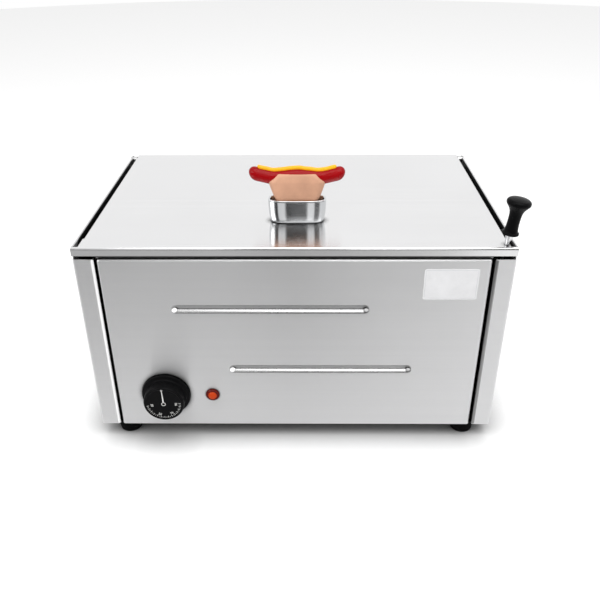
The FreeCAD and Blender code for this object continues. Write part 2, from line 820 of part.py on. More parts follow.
# Handle
def bowed_outline(width, depth, z):
    """A level outline between a rectangle and an oval, with gently bowed sides."""
    points = []
    for k in range(bow_points):
        angle = math.tau * (k + 0.5) / bow_points
        across = math.copysign(abs(math.cos(angle)) ** (2 / bow_power), math.cos(angle))
        deep = math.copysign(abs(math.sin(angle)) ** (2 / bow_power), math.sin(angle))
        points.append(vec(handle_x + width / 2 * across, handle_y + depth / 2 * deep, z))
    curve = Part.BSplineCurve()
    curve.interpolate(Points=points, PeriodicFlag=True)
    return Part.Wire(curve.toShape())


def handle_cup():
    """Chromed cup with a belly, a rounded lip and a pocket for the bun."""
    sections = [bowed_outline(cup_base_width, cup_base_depth, z_top),
                bowed_outline(cup_belly_width, cup_belly_depth, z_top + cup_belly_height),
                bowed_outline(cup_width, cup_depth, z_cup)]
    solid = Part.makeLoft(sections, True, False)
    mouth = bowed_outline(cup_width - cup_wall * 2, cup_depth - cup_wall * 2, z_cup - cup_pocket_depth)
    pocket = Part.Face(mouth).extrude(Z * (cup_pocket_depth + overrun))
    hole = rod(stud_radius + stud_clearance, vec(handle_x, handle_y, z_top - overrun), Z, cup_height + overrun * 2)
    cup = cut(solid, [pocket, hole])
    lip = edges_at(cup, lambda p: near(p.z, z_cup))
    return cup.makeFillet(cup_lip_radius, lip)


def bun_section(width, depth, radius, z):
    """One level outline of the bun."""
    return rounded_outline(handle_x - width / 2, handle_x + width / 2, handle_y - depth / 2, handle_y + depth / 2,
                           radius, z)


def sausage_points():
    """Middle line of the sausage, bent up at both ends."""
    end_x = sausage_length / 2 - sausage_radius
    places = [(-end_x, sausage_end_height), (-sausage_dip_x, sausage_dip_height), (0, sausage_middle_height),
              (sausage_dip_x, sausage_dip_height), (end_x, sausage_end_height)]
    return [vec(handle_x + x, handle_y, z_top + z) for x, z in places]


def sausage_solid(radius):
    """A round-ended sausage of the given thickness along its middle line."""
    points = sausage_points()
    return fuse([tube(points, radius, sausage_bend), Part.makeSphere(radius, points[0]),
                 Part.makeSphere(radius, points[-1])])


def handle_bun():
    """Bun with sloping ends and a trough for the sausage."""
    floor = z_cup - cup_pocket_depth
    sections = [bun_section(bun_base_width, bun_base_depth, bun_base_corner, floor),
                bun_section(bun_wide, bun_depth, bun_wide_corner, z_top + bun_wide_height),
                bun_section(bun_top_width, bun_top_depth, bun_top_corner, z_top + bun_top_height)]
    body = Part.makeLoft(sections, True, True)
    upper = edges_at(body, lambda p: near(p.z, z_top + bun_wide_height))
    upper += edges_at(body, lambda p: near(p.z, z_top + bun_top_height))
    body = body.makeFillet(bun_edge_radius, upper)
    bolt = rod(stud_radius, vec(handle_x, handle_y, floor - overrun), Z, stud_bite + overrun)
    return cut(body, [sausage_solid(sausage_radius + sausage_clearance), bolt])


def handle_mustard():
    """Line of mustard laid along the top of the sausage."""
    lift = sausage_radius + mustard_radius - mustard_sink
    half = mustard_length / 2 - mustard_radius
    points = sausage_points()
    slope = (sausage_end_height - sausage_dip_height) / (points[4].x - points[3].x)
    end_z = z_top + sausage_dip_height + slope * (half - sausage_dip_x)
    places = [vec(handle_x - half, handle_y, end_z), points[1], points[2], points[3],
              vec(handle_x + half, handle_y, end_z)]
    raised = [place + Z * lift for place in places]
    line = fuse([tube(raised, mustard_radius, mustard_bend), Part.makeSphere(mustard_radius, raised[0]),
                 Part.makeSphere(mustard_radius, raised[-1])])
    return line.cut(sausage_solid(sausage_radius + sausage_clearance))


def handle_stud():
    """Threaded stud from the bun down through the cup and the lid."""
    top = z_cup - cup_pocket_depth + stud_bite
    bottom = z_top - lid_sheet - backing_thickness - stud_nut_height - stud_tail
    return rod(stud_radius, vec(handle_x, handle_y, bottom), Z, top - bottom)


def handle_washer():
    """Wide washer under the lid."""
    start = vec(handle_x, handle_y, z_top - lid_sheet - backing_thickness)
    disc = rod(backing_radius, start, Z, backing_thickness)
    return disc.cut(rod(stud_radius + stud_clearance, start - Z * overrun, Z, overrun * 3))


def handle_nut():
    """Nut that holds the handle's stud."""
    start = vec(handle_x, handle_y, z_top - lid_sheet - backing_thickness - stud_nut_height)
    body = hex_bar(stud_nut_radius, start, Z, stud_nut_height)
    return body.cut(rod(stud_radius, start - Z * overrun, Z, overrun * 3))


# Bun pick
def pick_axis():
    """Direction of the pick, leaning to the right."""
    lean = math.radians(pick_lean)
    return vec(math.sin(lean), 0, math.cos(lean))


def pick_seat():
    """Point where the pick's axis meets the top of the lid."""
    return vec(pick_x, front_y + pick_inset, z_top)


def pick_spike():
    """Steel spike, ground to a point."""
    start = pick_seat() - pick_axis() * pick_spike_length
    profile = [(0, 0), (pick_point_radius, 0), (pick_spike_radius, pick_point_length),
               (pick_spike_radius, pick_spike_length), (0, pick_spike_length)]
    return turned(profile, start, pick_axis())


def pick_ferrule():
    """Tapered steel ferrule that seats in the lid's hole."""
    seat_radius = pick_hole_radius - pick_hole_gap
    profile = [(0, 0), (seat_radius, 0), (pick_ferrule_radius, pick_ferrule_length),
               (pick_tang_radius, pick_ferrule_length), (pick_tang_radius, pick_ferrule_length + pick_tang_length),
               (0, pick_ferrule_length + pick_tang_length)]
    return turned(profile, pick_seat(), pick_axis())


def grip_dome_bulge():
    """Rise of the head's dome over the chord from its rim to its crown."""
    sphere = (grip_head_radius ** 2 + grip_dome_height ** 2) / (grip_dome_height * 2)
    half_chord = math.hypot(grip_head_radius, grip_dome_height) / 2
    return sphere - math.sqrt(sphere ** 2 - half_chord ** 2)


def pick_grip():
    """Waisted black grip with a domed head and a collar."""
    rim = grip_head_height + grip_rim_height
    top = rim + grip_dome_height
    outline = [(0, 0), (grip_collar_radius - grip_edge_radius, 0), (grip_collar_radius, grip_edge_radius),
               (grip_collar_radius, grip_collar_height), (grip_waist_radius, grip_waist_start),
               (grip_neck_radius, grip_neck_height), (grip_head_radius, grip_head_height), (grip_head_radius, rim),
               (0, top)]
    bulges = {4: grip_waist_bulge, 5: grip_flare_bulge, 7: -grip_dome_bulge()}
    points = [vec(radius, 0, height) for radius, height in outline]
    points.append(points[0])
    edges = []
    for k, (start, end) in enumerate(zip(points, points[1:])):
        if k in bulges:
            inward = (end - start).normalize().cross(Y)
            edges.append(Part.Arc(start, (start + end) / 2 + inward * bulges[k], end).toShape())
        else:
            edges.append(Part.LineSegment(start, end).toShape())
    solid = Part.Face(Part.Wire(edges)).revolve(vec(0, 0, 0), Z, 360)
    solid = solid.cut(rod(pick_tang_radius, vec(0, 0, -overrun), Z, pick_tang_length + overrun))
    solid.Placement = FreeCAD.Placement(pick_seat() + pick_axis() * pick_ferrule_length,
                                        FreeCAD.Rotation(Z, pick_axis()))
    return solid


# Knob and thermostat
def knob():
    """Round control knob with a skirt, a shallow dished face and a hollow back."""
    back = knob_gap
    top = knob_gap + knob_length
    inner = knob_face_radius - knob_wall
    profile = [(0, top - knob_dish_depth), (knob_dish_radius, top - knob_dish_depth), (knob_dish_radius + knob_dish_depth, top),
               (knob_face_radius - knob_edge_radius, top), (knob_face_radius, top - knob_edge_radius),
               (knob_face_radius, back + knob_skirt_height), (knob_skirt_radius, back + knob_skirt_height / 2),
               (knob_skirt_radius, back), (inner, back), (inner, top - knob_face_wall),
               (knob_boss_radius, top - knob_face_wall), (knob_boss_radius, back + knob_boss_setback),
               (0, back + knob_boss_setback)]
    solid = turned(profile, vec(knob_x, front_y, knob_z), Y * -1)
    return solid.cut(d_bar(shaft_radius + shaft_running_gap / 2, back - overrun, back + knob_boss_setback + shaft_engagement))


def d_bar(radius, start, end):
    """A shaft with one flat, between two distances in front of the panel."""
    bar = rod(radius, vec(knob_x, front_y - start, knob_z), Y * -1, end - start)
    flat_z = knob_z + radius - shaft_flat_depth
    return bar.cut(box(knob_x - radius * 2, knob_x + radius * 2, front_y - end - overrun,
                       front_y - start + overrun, flat_z, knob_z + radius * 2))


def thermostat_shaft():
    """Flatted shaft that turns in the thermostat and carries the knob."""
    tip = knob_gap + knob_boss_setback + shaft_engagement - knob_gap
    inner = -(shell_sheet + thermostat_plate_sheet + shaft_bite)
    round_part = rod(shaft_radius, vec(knob_x, front_y - inner, knob_z), Y * -1, -inner)
    return fuse([round_part, d_bar(shaft_radius, 0, tip)])


def thermostat_screw_places():
    """X of the two screws that hold the thermostat, one each side of its shaft."""
    return [knob_x - thermostat_screw_span / 2, knob_x + thermostat_screw_span / 2]


def thermostat_body():
    """Thermostat case behind the panel, with its fixing plate and blade terminals."""
    plate_back = front_y + shell_sheet + thermostat_plate_sheet
    plate = box(knob_x - thermostat_plate_width / 2, knob_x + thermostat_plate_width / 2, front_y + shell_sheet,
                plate_back, knob_z - thermostat_plate_height / 2, knob_z + thermostat_plate_height / 2)
    case = box(knob_x - thermostat_width / 2, knob_x + thermostat_width / 2, plate_back,
               plate_back + thermostat_depth, knob_z - thermostat_height / 2, knob_z + thermostat_height / 2)
    long_edges = [edge for edge in case.Edges if near(edge.Length, thermostat_depth)]
    case = case.makeFillet(thermostat_corner, long_edges)
    case_back = plate_back + thermostat_depth
    tabs = []
    for side in (-1, 1):
        x = knob_x + side * thermostat_tab_span / 2
        tabs.append(box(x - thermostat_tab_width / 2, x + thermostat_tab_width / 2, case_back - overrun,
                        case_back + thermostat_tab_length, knob_z, knob_z + thermostat_tab_sheet))
    solid = fuse([plate, case] + tabs)
    bore = rod(shaft_radius + shaft_running_gap, vec(knob_x, front_y, knob_z), Y,
               shell_sheet + thermostat_plate_sheet + shaft_bite + shaft_running_gap)
    screw_bores = [rod(thermostat_screw_radius, vec(x, front_y, knob_z), Y, screw_length)
                   for x in thermostat_screw_places()]
    return cut(solid, [bore] + screw_bores)


def thermostat_screw(x):
    """Screw through the panel into the thermostat, hidden by the knob."""
    head = rod(thermostat_screw_head, vec(x, front_y - thermostat_screw_head_height, knob_z), Y,
               thermostat_screw_head_height)
    shank = rod(thermostat_screw_radius, vec(x, front_y, knob_z), Y, screw_length)
    return fuse([head, shank])


def bulb_line():
    """Level and Y of the sensing bulb under the tank."""
    return tank_front_y + bulb_inset, z_tank_floor - bulb_radius


def thermostat_bulb():
    """Sensing bulb under the tank floor with its capillary from the thermostat."""
    y, z = bulb_line()
    start_x = knob_x + bulb_offset
    bulb = rod(bulb_radius, vec(start_x, y, z), X, bulb_length)
    case_back = front_y + shell_sheet + thermostat_plate_sheet + thermostat_depth
    top = knob_z + thermostat_height / 2
    exit_x = knob_x + capillary_offset
    route = [vec(exit_x, case_back - thermostat_depth / 2, top),
             vec(exit_x, case_back - thermostat_depth / 2, z),
             vec(exit_x, y, z), vec(start_x, y, z)]
    return fuse([bulb, tube(route, capillary_radius, capillary_bend)])


def bulb_clip():
    """Spring strap that holds the bulb against the tank floor."""
    y, z = bulb_line()
    x = knob_x + bulb_offset + bulb_length / 2
    reach = bulb_radius + bulb_clip_sheet
    strap = fuse([rod(reach, vec(x, y, z), X, bulb_clip_width),
                  box(x, x + bulb_clip_width, y - reach, y + reach, z, z_tank_floor),
                  box(x, x + bulb_clip_width, y - bulb_clip_span / 2, y + bulb_clip_span / 2,
                      z_tank_floor - bulb_clip_sheet, z_tank_floor)])
    hollow = fuse([rod(bulb_radius, vec(x - overrun, y, z), X, bulb_clip_width + overrun * 2),
                   box(x - overrun, x + bulb_clip_width + overrun, y - bulb_radius, y + bulb_radius, z,
                       z_tank_floor + overrun)])
    return strap.cut(hollow)


# Pilot lamp
def lamp_bezel():
    """Ring of the pilot lamp on the face of the panel."""
    profile = [(0, 0), (lamp_bezel_radius, 0), (lamp_bezel_radius, lamp_bezel_height - lamp_bezel_edge),
               (lamp_bezel_radius - lamp_bezel_edge, lamp_bezel_height), (0, lamp_bezel_height)]
    ring = turned(profile, vec(lamp_x, front_y, lamp_z), Y * -1)
    return ring.cut(rod(lamp_lens_radius + lamp_lens_gap, vec(lamp_x, front_y + overrun, lamp_z), Y * -1,
                        lamp_bezel_height + overrun * 2))


def lamp_lens():
    """Domed lens inside the ring."""
    face = lamp_bezel_height
    dome = [(radius, face + height) for radius, height in shaped(lamp_dome_shares, lamp_lens_radius, lamp_lens_height)]
    profile = [(0, 0), (lamp_lens_radius, 0), (lamp_lens_radius, face)] + dome
    return turned(profile, vec(lamp_x, front_y, lamp_z), Y * -1)


def lamp_body():
    """Lamp holder behind the panel with two blade terminals."""
    start = vec(lamp_x, front_y, lamp_z)
    tabs = [box(lamp_x - lamp_tab_width / 2, lamp_x + lamp_tab_width / 2, front_y + lamp_body_length - overrun,
                front_y + lamp_body_length + lamp_tab_length, z, z + lamp_tab_sheet)
            for z in (lamp_z - lamp_tab_span / 2, lamp_z + lamp_tab_span / 2)]
    return fuse([rod(lamp_body_radius, start, Y, lamp_body_length)] + tabs)


def lamp_clip():
    """Push-on ring that holds the lamp from behind."""
    start = vec(lamp_x, front_y + shell_sheet, lamp_z)
    ring = rod(lamp_clip_radius, start, Y, lamp_clip_thickness)
    return ring.cut(rod(lamp_body_radius, start - Y * overrun, Y, overrun * 3))


# Water tank and what it hangs on
def water_tank():
    """Pressed water tank with a wide rim whose corners are cut off."""
    body = pan(-tank_half_width, tank_half_width, tank_front_y, tank_rear_y, z_tank_floor, z_rim,
               tank_corner_radius, tank_floor_radius, tank_sheet)
    edge_x = inner_side_x - rim_side_gap
    edge_front = front_y + rim_front_inset
    edge_rear = rear_y - rim_rear_inset
    rim = box(-edge_x, edge_x, edge_front, edge_rear, z_shell, z_rim)
    upright = [edge for edge in rim.Edges if near(edge.Length, tank_sheet)]
    rim = rim.makeChamfer(rim_corner_cut, upright)
    mouth = rounded_plate(-tank_half_width + tank_sheet, tank_half_width - tank_sheet, tank_front_y + tank_sheet,
                          tank_rear_y - tank_sheet, tank_corner_radius - tank_sheet, z_shell - overrun, overrun * 3)
    holes = [rod(element_radius + element_hole_gap, vec(x, y, z_tank_floor - overrun), Z, overrun * 2)
             for x, y in element_ends()]
    return cut(fuse([body, rim.cut(mouth)]), holes)


def side_rail():
    """Right angle rail under the tank rim, welded to the side wall."""
    start_y = front_y + rail_end_inset
    length = body_depth - rail_end_inset * 2
    walk = [vec(inner_side_x, start_y, z_shell - rail_height), vec(inner_side_x, start_y, z_shell),
            vec(inner_side_x - rail_width, start_y, z_shell)]
    return folded_strip(walk, rail_sheet, fold_radius, -1).extrude(Y * length)


def rear_rail():
    """Angle rail under the rear of the tank rim, welded to the rear flanges."""
    half = side_x - rear_flange_width + rear_rail_end_inset / 2
    face_y = rear_y - shell_sheet
    walk = [vec(-half, face_y, z_shell - rail_height), vec(-half, face_y, z_shell),
            vec(-half, face_y - rail_width, z_shell)]
    rail = folded_strip(walk, rail_sheet, fold_radius, 1).extrude(X * half * 2)
    holes = [rod(screw_radius + screw_gap, vec(x, rear_y - overrun, z), Y, overrun * 2)
             for x, z in rear_screw_places() if z > z_shell - rail_height]
    return cut(rail, holes)


# Heating element
def element_route():
    """Middle line of the heater: up through the tank floor, to and fro, and down again."""
    level = z_tank_floor + tank_sheet + element_clearance + element_radius
    bottom = z_tank_floor - element_end_drop
    near_x = -tank_half_width + element_left_inset
    far_x = tank_half_width - element_right_inset
    start_y = tank_front_y + element_front_inset
    last_y = tank_rear_y - element_rear_inset
    pitch = (last_y - start_y) / (element_passes - 1)
    turn_x = near_x + element_lead_length
    route = [vec(near_x, start_y, bottom), vec(near_x, start_y, level)]
    for k in range(element_passes):
        y = start_y + pitch * k
        xs = (far_x, turn_x) if k % 2 == 0 else (turn_x, far_x)
        if k > 0:
            route.append(vec(xs[1], y, level))
        if k < element_passes - 1:
            route.append(vec(xs[0], y, level))
    route += [vec(near_x, last_y, level), vec(near_x, last_y, bottom)]
    return route


def element_ends():
    """Where the heater passes through the tank floor."""
    route = element_route()
    return [(route[0].x, route[0].y), (route[-1].x, route[-1].y)]


def heating_element():
    """Tubular heater in one run, with a terminal pin at each end."""
    route = clean_route(element_route())
    pins = [rod(element_pin_radius, route[k] - Z * element_pin_length, Z, element_pin_length + overrun)
            for k in (0, -1)]
    return fuse([tube(route, element_radius, element_bend)] + pins)


def clean_route(route):
    """A route without points that lie on a straight run."""
    kept = [route[0]]
    for k in range(1, len(route) - 1):
        back = route[k] - kept[-1]
        ahead = route[k + 1] - route[k]
        if back.Length > 0 and back.getAngle(ahead) > 0:
            kept.append(route[k])
    return kept + [route[-1]]


def element_flange(x, y):
    """Sealing flange on the heater inside the tank."""
    start = vec(x, y, z_tank_floor + tank_sheet)
    disc = rod(element_flange_radius, start, Z, element_flange_height)
    return disc.cut(rod(element_radius, start - Z * overrun, Z, overrun * 3))


def element_nut(x, y):
    """Nut on the heater under the tank."""
    start = vec(x, y, z_tank_floor - element_nut_height)
    body = hex_bar(element_nut_radius, start, Z, element_nut_height)
    return body.cut(rod(element_radius, start - Z * overrun, Z, overrun * 4))


# Pans
def pan_bar():
    """Inverted channel across the tank that carries the pans' inner rims."""
    half = bar_width / 2
    start_y = front_y + rim_front_inset + bar_front_inset
    end_y = rear_y - rim_rear_inset - bar_rear_inset
    top = z_rim + bar_sheet
    walk = [vec(-half, start_y, top - bar_height), vec(-half, start_y, top), vec(half, start_y, top),
            vec(half, start_y, top - bar_height)]
    channel = folded_strip(walk, bar_sheet, fold_radius, 1).extrude(Y * (end_y - start_y))
    inside_front = tank_front_y + tank_sheet + pan_bar_gap
    inside_rear = tank_rear_y - tank_sheet - pan_bar_gap
    return cut(channel, [box(-bar_width, bar_width, start_y - overrun, inside_front, z_rim - bar_height * 2, z_rim),
                         box(-bar_width, bar_width, inside_rear, end_y + overrun, z_rim - bar_height * 2, z_rim)])


def food_pan(floor_rise):
    """Left pan: pressed, with a flat rim, finger slots and a perforated floor."""
    rim_z = z_rim + bar_sheet + pan_rest_gap
    floor_z = z_tank_floor + floor_rise
    x0 = -tank_half_width + tank_sheet + pan_side_gap
    x1 = -bar_width / 2 - pan_bar_gap
    y0 = tank_front_y + tank_sheet + pan_side_gap
    y1 = tank_rear_y - tank_sheet - pan_side_gap
    body = pan(x0, x1, y0, y1, floor_z, rim_z + pan_sheet, pan_corner_radius, pan_floor_radius, pan_sheet)
    reach = pan_side_gap + pan_rim_overlap
    rim = rounded_plate(x0 - reach, -pan_bar_edge, y0 - reach, y1 + reach, pan_rim_corner, rim_z, pan_sheet)
    mouth = rounded_plate(x0 + pan_sheet, x1 - pan_sheet, y0 + pan_sheet, y1 - pan_sheet,
                          pan_corner_radius - pan_sheet, rim_z - overrun, overrun * 2)
    edge = rounded_plate(x0 - reach, -pan_bar_edge, y0 - reach, y1 + reach, pan_rim_corner, z_rim + pan_rest_gap,
                         rim_z - z_rim)
    edge = cut(edge, [rounded_plate(x0 - reach + pan_sheet, -pan_bar_edge + overrun, y0 - reach + pan_sheet,
                                    y1 + reach - pan_sheet, pan_rim_corner - pan_sheet, z_rim - overrun, overrun * 2 + bar_sheet),
                      box(-bar_width / 2 - pan_bar_gap, 0, y0 - reach * 2, y1 + reach * 2, z_rim, rim_z)])
    cutters = []
    middle_x = (x0 + x1) / 2
    middle_y = (y0 + y1) / 2
    for column in range(pan_hole_columns):
        for row in range(pan_hole_rows):
            x = middle_x + (column - (pan_hole_columns - 1) / 2) * pan_hole_pitch
            y = middle_y + (row - (pan_hole_rows - 1) / 2) * pan_hole_pitch
            cutters.append(rod(pan_hole_radius, vec(x, y, floor_z - overrun), Z, overrun * 2))
    for wall_y in (y0, y1):
        z = rim_z - grip_slot_drop
        start = vec(middle_x - grip_slot_length / 2, wall_y - overrun, z)
        cutters.append(slot(start, start + X * grip_slot_length, grip_slot_width / 2, Y, overrun * 2))
    return cut(fuse([body, rim.cut(mouth), edge]), cutters)


# Wiring parts
def terminal_block():
    """Terminal block with one raised pair of clamps for each pole."""
    floor = z_base + shell_sheet
    base = box(block_x - block_length / 2, block_x + block_length / 2, block_y - block_width / 2,
               block_y + block_width / 2, floor, floor + block_height)
    towers = []
    for x in block_poles_x():
        for y in (block_y - block_tower_span / 2, block_y + block_tower_span / 2):
            towers.append(rod(block_tower_width / 2, vec(x, y, floor), Z, block_height + block_tower_height))
    return fuse([base] + towers)


def block_poles_x():
    """X of each pole of the terminal block."""
    pitch = block_length / block_poles
    return [block_x + (k - (block_poles - 1) / 2) * pitch for k in range(block_poles)]


def block_screws():
    """Clamp screws in the terminal block."""
    top = z_base + shell_sheet + block_height + block_tower_height
    return [rod(block_screw_radius, vec(x, y, top), Z, block_screw_height)
            for x in block_poles_x() for y in (block_y - block_tower_span / 2, block_y + block_tower_span / 2)]


def earth_stud():
    """Earth screw up through the base plate."""
    head_height = screw_head_height
    head = rod(earth_nut_radius, vec(earth_x, earth_y, z_base - head_height), Z, head_height)
    return fuse([head, rod(earth_radius, vec(earth_x, earth_y, z_base), Z, earth_height)])


def earth_nut():
    """Nut on the earth screw."""
    start = vec(earth_x, earth_y, z_base + shell_sheet)
    body = hex_bar(earth_nut_radius, start, Z, earth_nut_height)
    return body.cut(rod(earth_radius, start - Z * overrun, Z, overrun * 3))


def cable_gland():
    """Cable gland in the rear panel, with an open bore."""
    face = rear_y + shell_sheet
    start = vec(gland_x, face, gland_z)
    dome = turned(shaped(gland_dome_shares, gland_dome_radius, gland_dome_height),
                  start + Y * gland_hex_height, Y)
    tail = shell_sheet * 2 + gland_tail
    solid = fuse([hex_bar(gland_hex_radius, start, Y, gland_hex_height), dome,
                  rod(gland_thread_radius, start - Y * tail, Y, tail)])
    length = tail + gland_hex_height + gland_dome_height
    return solid.cut(rod(gland_bore, start - Y * (tail + overrun), Y, length + overrun * 2))


def gland_nut():
    """Ring nut on the gland inside the cabinet."""
    start = vec(gland_x, rear_y - gland_nut_height, gland_z)
    body = hex_bar(gland_hex_radius, start, Y, gland_nut_height)
    return body.cut(rod(gland_thread_radius, start - Y * overrun, Y, overrun * 4))


def rear_screw(x, z):
    """Round-headed screw through the rear panel into a rear flange."""
    face = rear_y + shell_sheet
    head = turned(shaped(screw_head_shares, screw_head_radius, screw_head_height), vec(x, face, z), Y)
    return fuse([head, rod(screw_radius, vec(x, face - screw_length, z), Y, screw_length)])


def build():
    """Every node by name, each a shape or a list of like solids."""
    right = side_panel()
    places = foot_places()
    foot_names = ("foot_front_left", "foot_front_right", "foot_rear_left", "foot_rear_right")
    nodes = {
        "side_panel_left": mirrored(right),
        "side_panel_right": right,
        "front_panel": front_panel(),
        "rear_panel": rear_panel(),
        "rear_panel_screws": [rear_screw(x, z) for x, z in rear_screw_places()],
        "base_plate": base_plate(),
        "foot_screws": [foot_screw(x, y) for x, y in places],
        "foot_nuts": [foot_nut(x, y) for x, y in places],
        "lid_panel": lid_panel(),
        "hinge_pins": [hinge_pin(), mirrored(hinge_pin())],
        "hinge_spacers": [hinge_spacer(), mirrored(hinge_spacer())],
        "hinge_bosses": [hinge_boss(), mirrored(hinge_boss())],
        "hinge_clips": [hinge_clip(), mirrored(hinge_clip())],
        "handle_cup": handle_cup(),
        "handle_bun": handle_bun(),
        "handle_sausage": sausage_solid(sausage_radius),
        "handle_mustard": handle_mustard(),
        "handle_stud": handle_stud(),
        "handle_washer": handle_washer(),
        "handle_nut": handle_nut(),
        "pick_grip": pick_grip(),
        "pick_ferrule": pick_ferrule(),
        "pick_spike": pick_spike(),
        "control_knob": knob(),
        "thermostat_shaft": thermostat_shaft(),
        "thermostat_body": thermostat_body(),
        "thermostat_screws": [thermostat_screw(x) for x in thermostat_screw_places()],
        "thermostat_bulb": thermostat_bulb(),
        "bulb_clip": bulb_clip(),
        "lamp_bezel": lamp_bezel(),
        "lamp_lens": lamp_lens(),
        "lamp_body": lamp_body(),
        "lamp_clip": lamp_clip(),
        "water_tank": water_tank(),
        "rim_rail_left": mirrored(side_rail()),
        "rim_rail_right": side_rail(),
        "rim_rail_rear": rear_rail(),
        "heating_element": heating_element(),
        "element_flanges": [element_flange(x, y) for x, y in element_ends()],
        "element_nuts": [element_nut(x, y) for x, y in element_ends()],
        "pan_bar": pan_bar(),
        "sausage_pan": food_pan(sausage_pan_floor_rise),
        "bun_pan": mirrored(food_pan(bun_pan_floor_rise)),
        "terminal_block": terminal_block(),
        "terminal_screws": block_screws(),
        "earth_stud": earth_stud(),
        "earth_nut": earth_nut(),
        "cable_gland": cable_gland(),
        "gland_nut": gland_nut(),
    }
    for name, (x, y) in zip(foot_names, places):
        nodes[name] = foot(x, y)
    return nodes


def main():
    """Write one STEP file for each node."""
    os.makedirs("parts", exist_ok=True)
    for name, shape in build().items():
        solids = shape if isinstance(shape, list) else [shape]
        shape = Part.makeCompound(solids) if len(solids) > 1 else solids[0]
        shape.exportStep(os.path.join("parts", name + ".step"))
        print(name, "solids", len(shape.Solids), "valid", shape.isValid(), "volume", round(shape.Volume, 1))


main()
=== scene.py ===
"""Countertop hot dog steamer: finishes, fine details and the studio it stands in."""
import math

import bmesh
import bpy
from mathutils import Matrix, Vector


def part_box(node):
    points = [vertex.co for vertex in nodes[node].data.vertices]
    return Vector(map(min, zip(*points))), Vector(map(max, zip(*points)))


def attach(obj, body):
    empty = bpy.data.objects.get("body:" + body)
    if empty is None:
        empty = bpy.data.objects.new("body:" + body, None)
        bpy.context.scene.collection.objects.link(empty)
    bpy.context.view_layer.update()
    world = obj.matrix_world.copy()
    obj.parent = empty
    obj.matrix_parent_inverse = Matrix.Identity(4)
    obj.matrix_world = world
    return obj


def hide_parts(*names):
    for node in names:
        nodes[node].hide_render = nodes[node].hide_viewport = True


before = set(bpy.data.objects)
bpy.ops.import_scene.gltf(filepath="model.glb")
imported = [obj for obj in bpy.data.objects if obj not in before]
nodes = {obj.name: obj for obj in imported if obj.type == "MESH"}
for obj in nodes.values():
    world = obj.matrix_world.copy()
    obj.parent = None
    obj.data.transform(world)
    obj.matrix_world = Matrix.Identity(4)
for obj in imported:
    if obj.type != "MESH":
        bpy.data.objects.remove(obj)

bl_info = {
    "name": "Hot dog steamer",
    "version": (1, 0, 0),
    "blender": (4, 5, 0),
    "location": "View3D > Sidebar > Steamer",
    "description": "Finishes, handle, controls and studio for a countertop hot dog steamer",
    "category": "Object",
}

MM = 0.001
WHITE = (1.0, 1.0, 1.0)
BLACK = (0.0, 0.0, 0.0)

# Pressed beads of the front panel: left end, right end and height, in millimetres
BEADS = ((-130.0, 78.5, 172.0), (-72.6, 128.3, 95.2))
LIP_TILT = math.radians(-47)
LIP_FLATNESS = 0.2
# How far the strips of painted highlight and shade along the posts' bent edges stand out of their corner and
# stop short of its ends, in millimetres
EDGE_PROUD = 0.4
EDGE_GAP = 0.5

# The chromed cup: half width, half depth and rise above the lid, in millimetres
CUP_BOW = -3.4
CUP_LEVELS = ((27.6, 9.0, 0), (28.4, 9.6, 0.6), (29.2, 10.1, 3), (29.9, 10.5, 6.5), (30.4, 10.7, 10),
              (30.8, 10.85, 15), (31.0, 10.95, 20), (31.1, 11.0, 24.0), (31.1, 11.0, 24.9),
              (30.8, 10.75, 25.6), (30.3, 10.3, 25.95), (29.7, 9.8, 25.97), (29.1, 9.2, 25.6),
              (28.7, 8.7, 24.8), (28.6, 8.6, 19.3))
# The bun: half width, half depth, corner and rise above the cup's floor
CUP_FLOOR = 19
BUN_LEVELS = ((19.5, 5.6, 4.6, 0), (22.2, 7.5, 6.0, 5), (24.8, 8.8, 6.8, 10), (27.6, 9.9, 7.6, 18),
              (29.5, 10.4, 8.0, 24), (30.1, 10.5, 8.0, 26.2), (30.2, 10.5, 8.0, 26.9),
              (29.7, 10.4, 7.9, 27.8), (27.9, 10.1, 7.65, 29.4), (24.4, 9.5, 7.1, 32.2),
              (21.7, 8.95, 6.7, 34.3), (20.6, 8.6, 6.4, 35.0), (19.2, 7.9, 6.0, 35.25))
# Middle line of the sausage: place along it and rise above the lid
SAUSAGE_LINE = ((-60, 57.0), (-24.5, 48.3), (0, 51.4), (24.5, 48.3), (60, 57.0))
MUSTARD_RISE = 8.2

# Where the pick stands in the lid, in millimetres, and its lean to the right
PICK_SEAT = (214.6, -141.5)
PICK_LEAN = math.radians(7)
# Length of the knob, in millimetres
KNOB_FACE = 20.0
# Numbers of the dial: text, turn in degrees and distance from the middle
DIAL = (("30", 187, 13.2), ("50", 250, 14.8), ("70", 303, 15.0), ("90", 359, 14.0))
LABEL_CENTRE = (0.1613, 0.2018)

# Brush directions: tangent, stretch of the fine lines and of the broad bands
GRAINS = {
    "x": ((0, -0.707, 0.707), (2.5, 1400, 1400), (1.2, 160, 160)),
    "y": ((1, 0, 0), (1400, 2.5, 1400), (160, 1.2, 160)),
    "xy": ((0, 0.02, 1), (2.5, 2.5, 1400), (1.2, 1.2, 160)),
}
# Bright and dark uprights of the room in front: sideways slope and level
STRIPS = ((-0.8, 1.0), (-0.6, 0.05), (-0.42, 0.05), (-0.36, 1.0), (-0.14, 1.0), (-0.10, 0.02), (0.05, 0.02),
          (0.08, 1.0), (0.24, 1.0), (0.28, 0.05), (0.55, 0.1), (0.8, 1.0))
# What the sheet mirrors of the floor, a painted reflection seen only in mirrors and glass: metres to the
# right and level
FLOOR_SIDES = ((-0.5, 0.35), (-0.33, 0.37), (-0.12, 0.40), (0.0, 0.32), (0.10, 0.39), (0.18, 0.49),
               (0.26, 0.61), (0.31, 0.84), (0.36, 1.0))
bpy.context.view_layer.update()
cup_low, cup_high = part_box("handle_cup")
handle_centre = ((cup_low.x + cup_high.x) / 2, (cup_low.y + cup_high.y) / 2)
panel_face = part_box("front_panel")[0].y
lid_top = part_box("lid_panel")[1].z


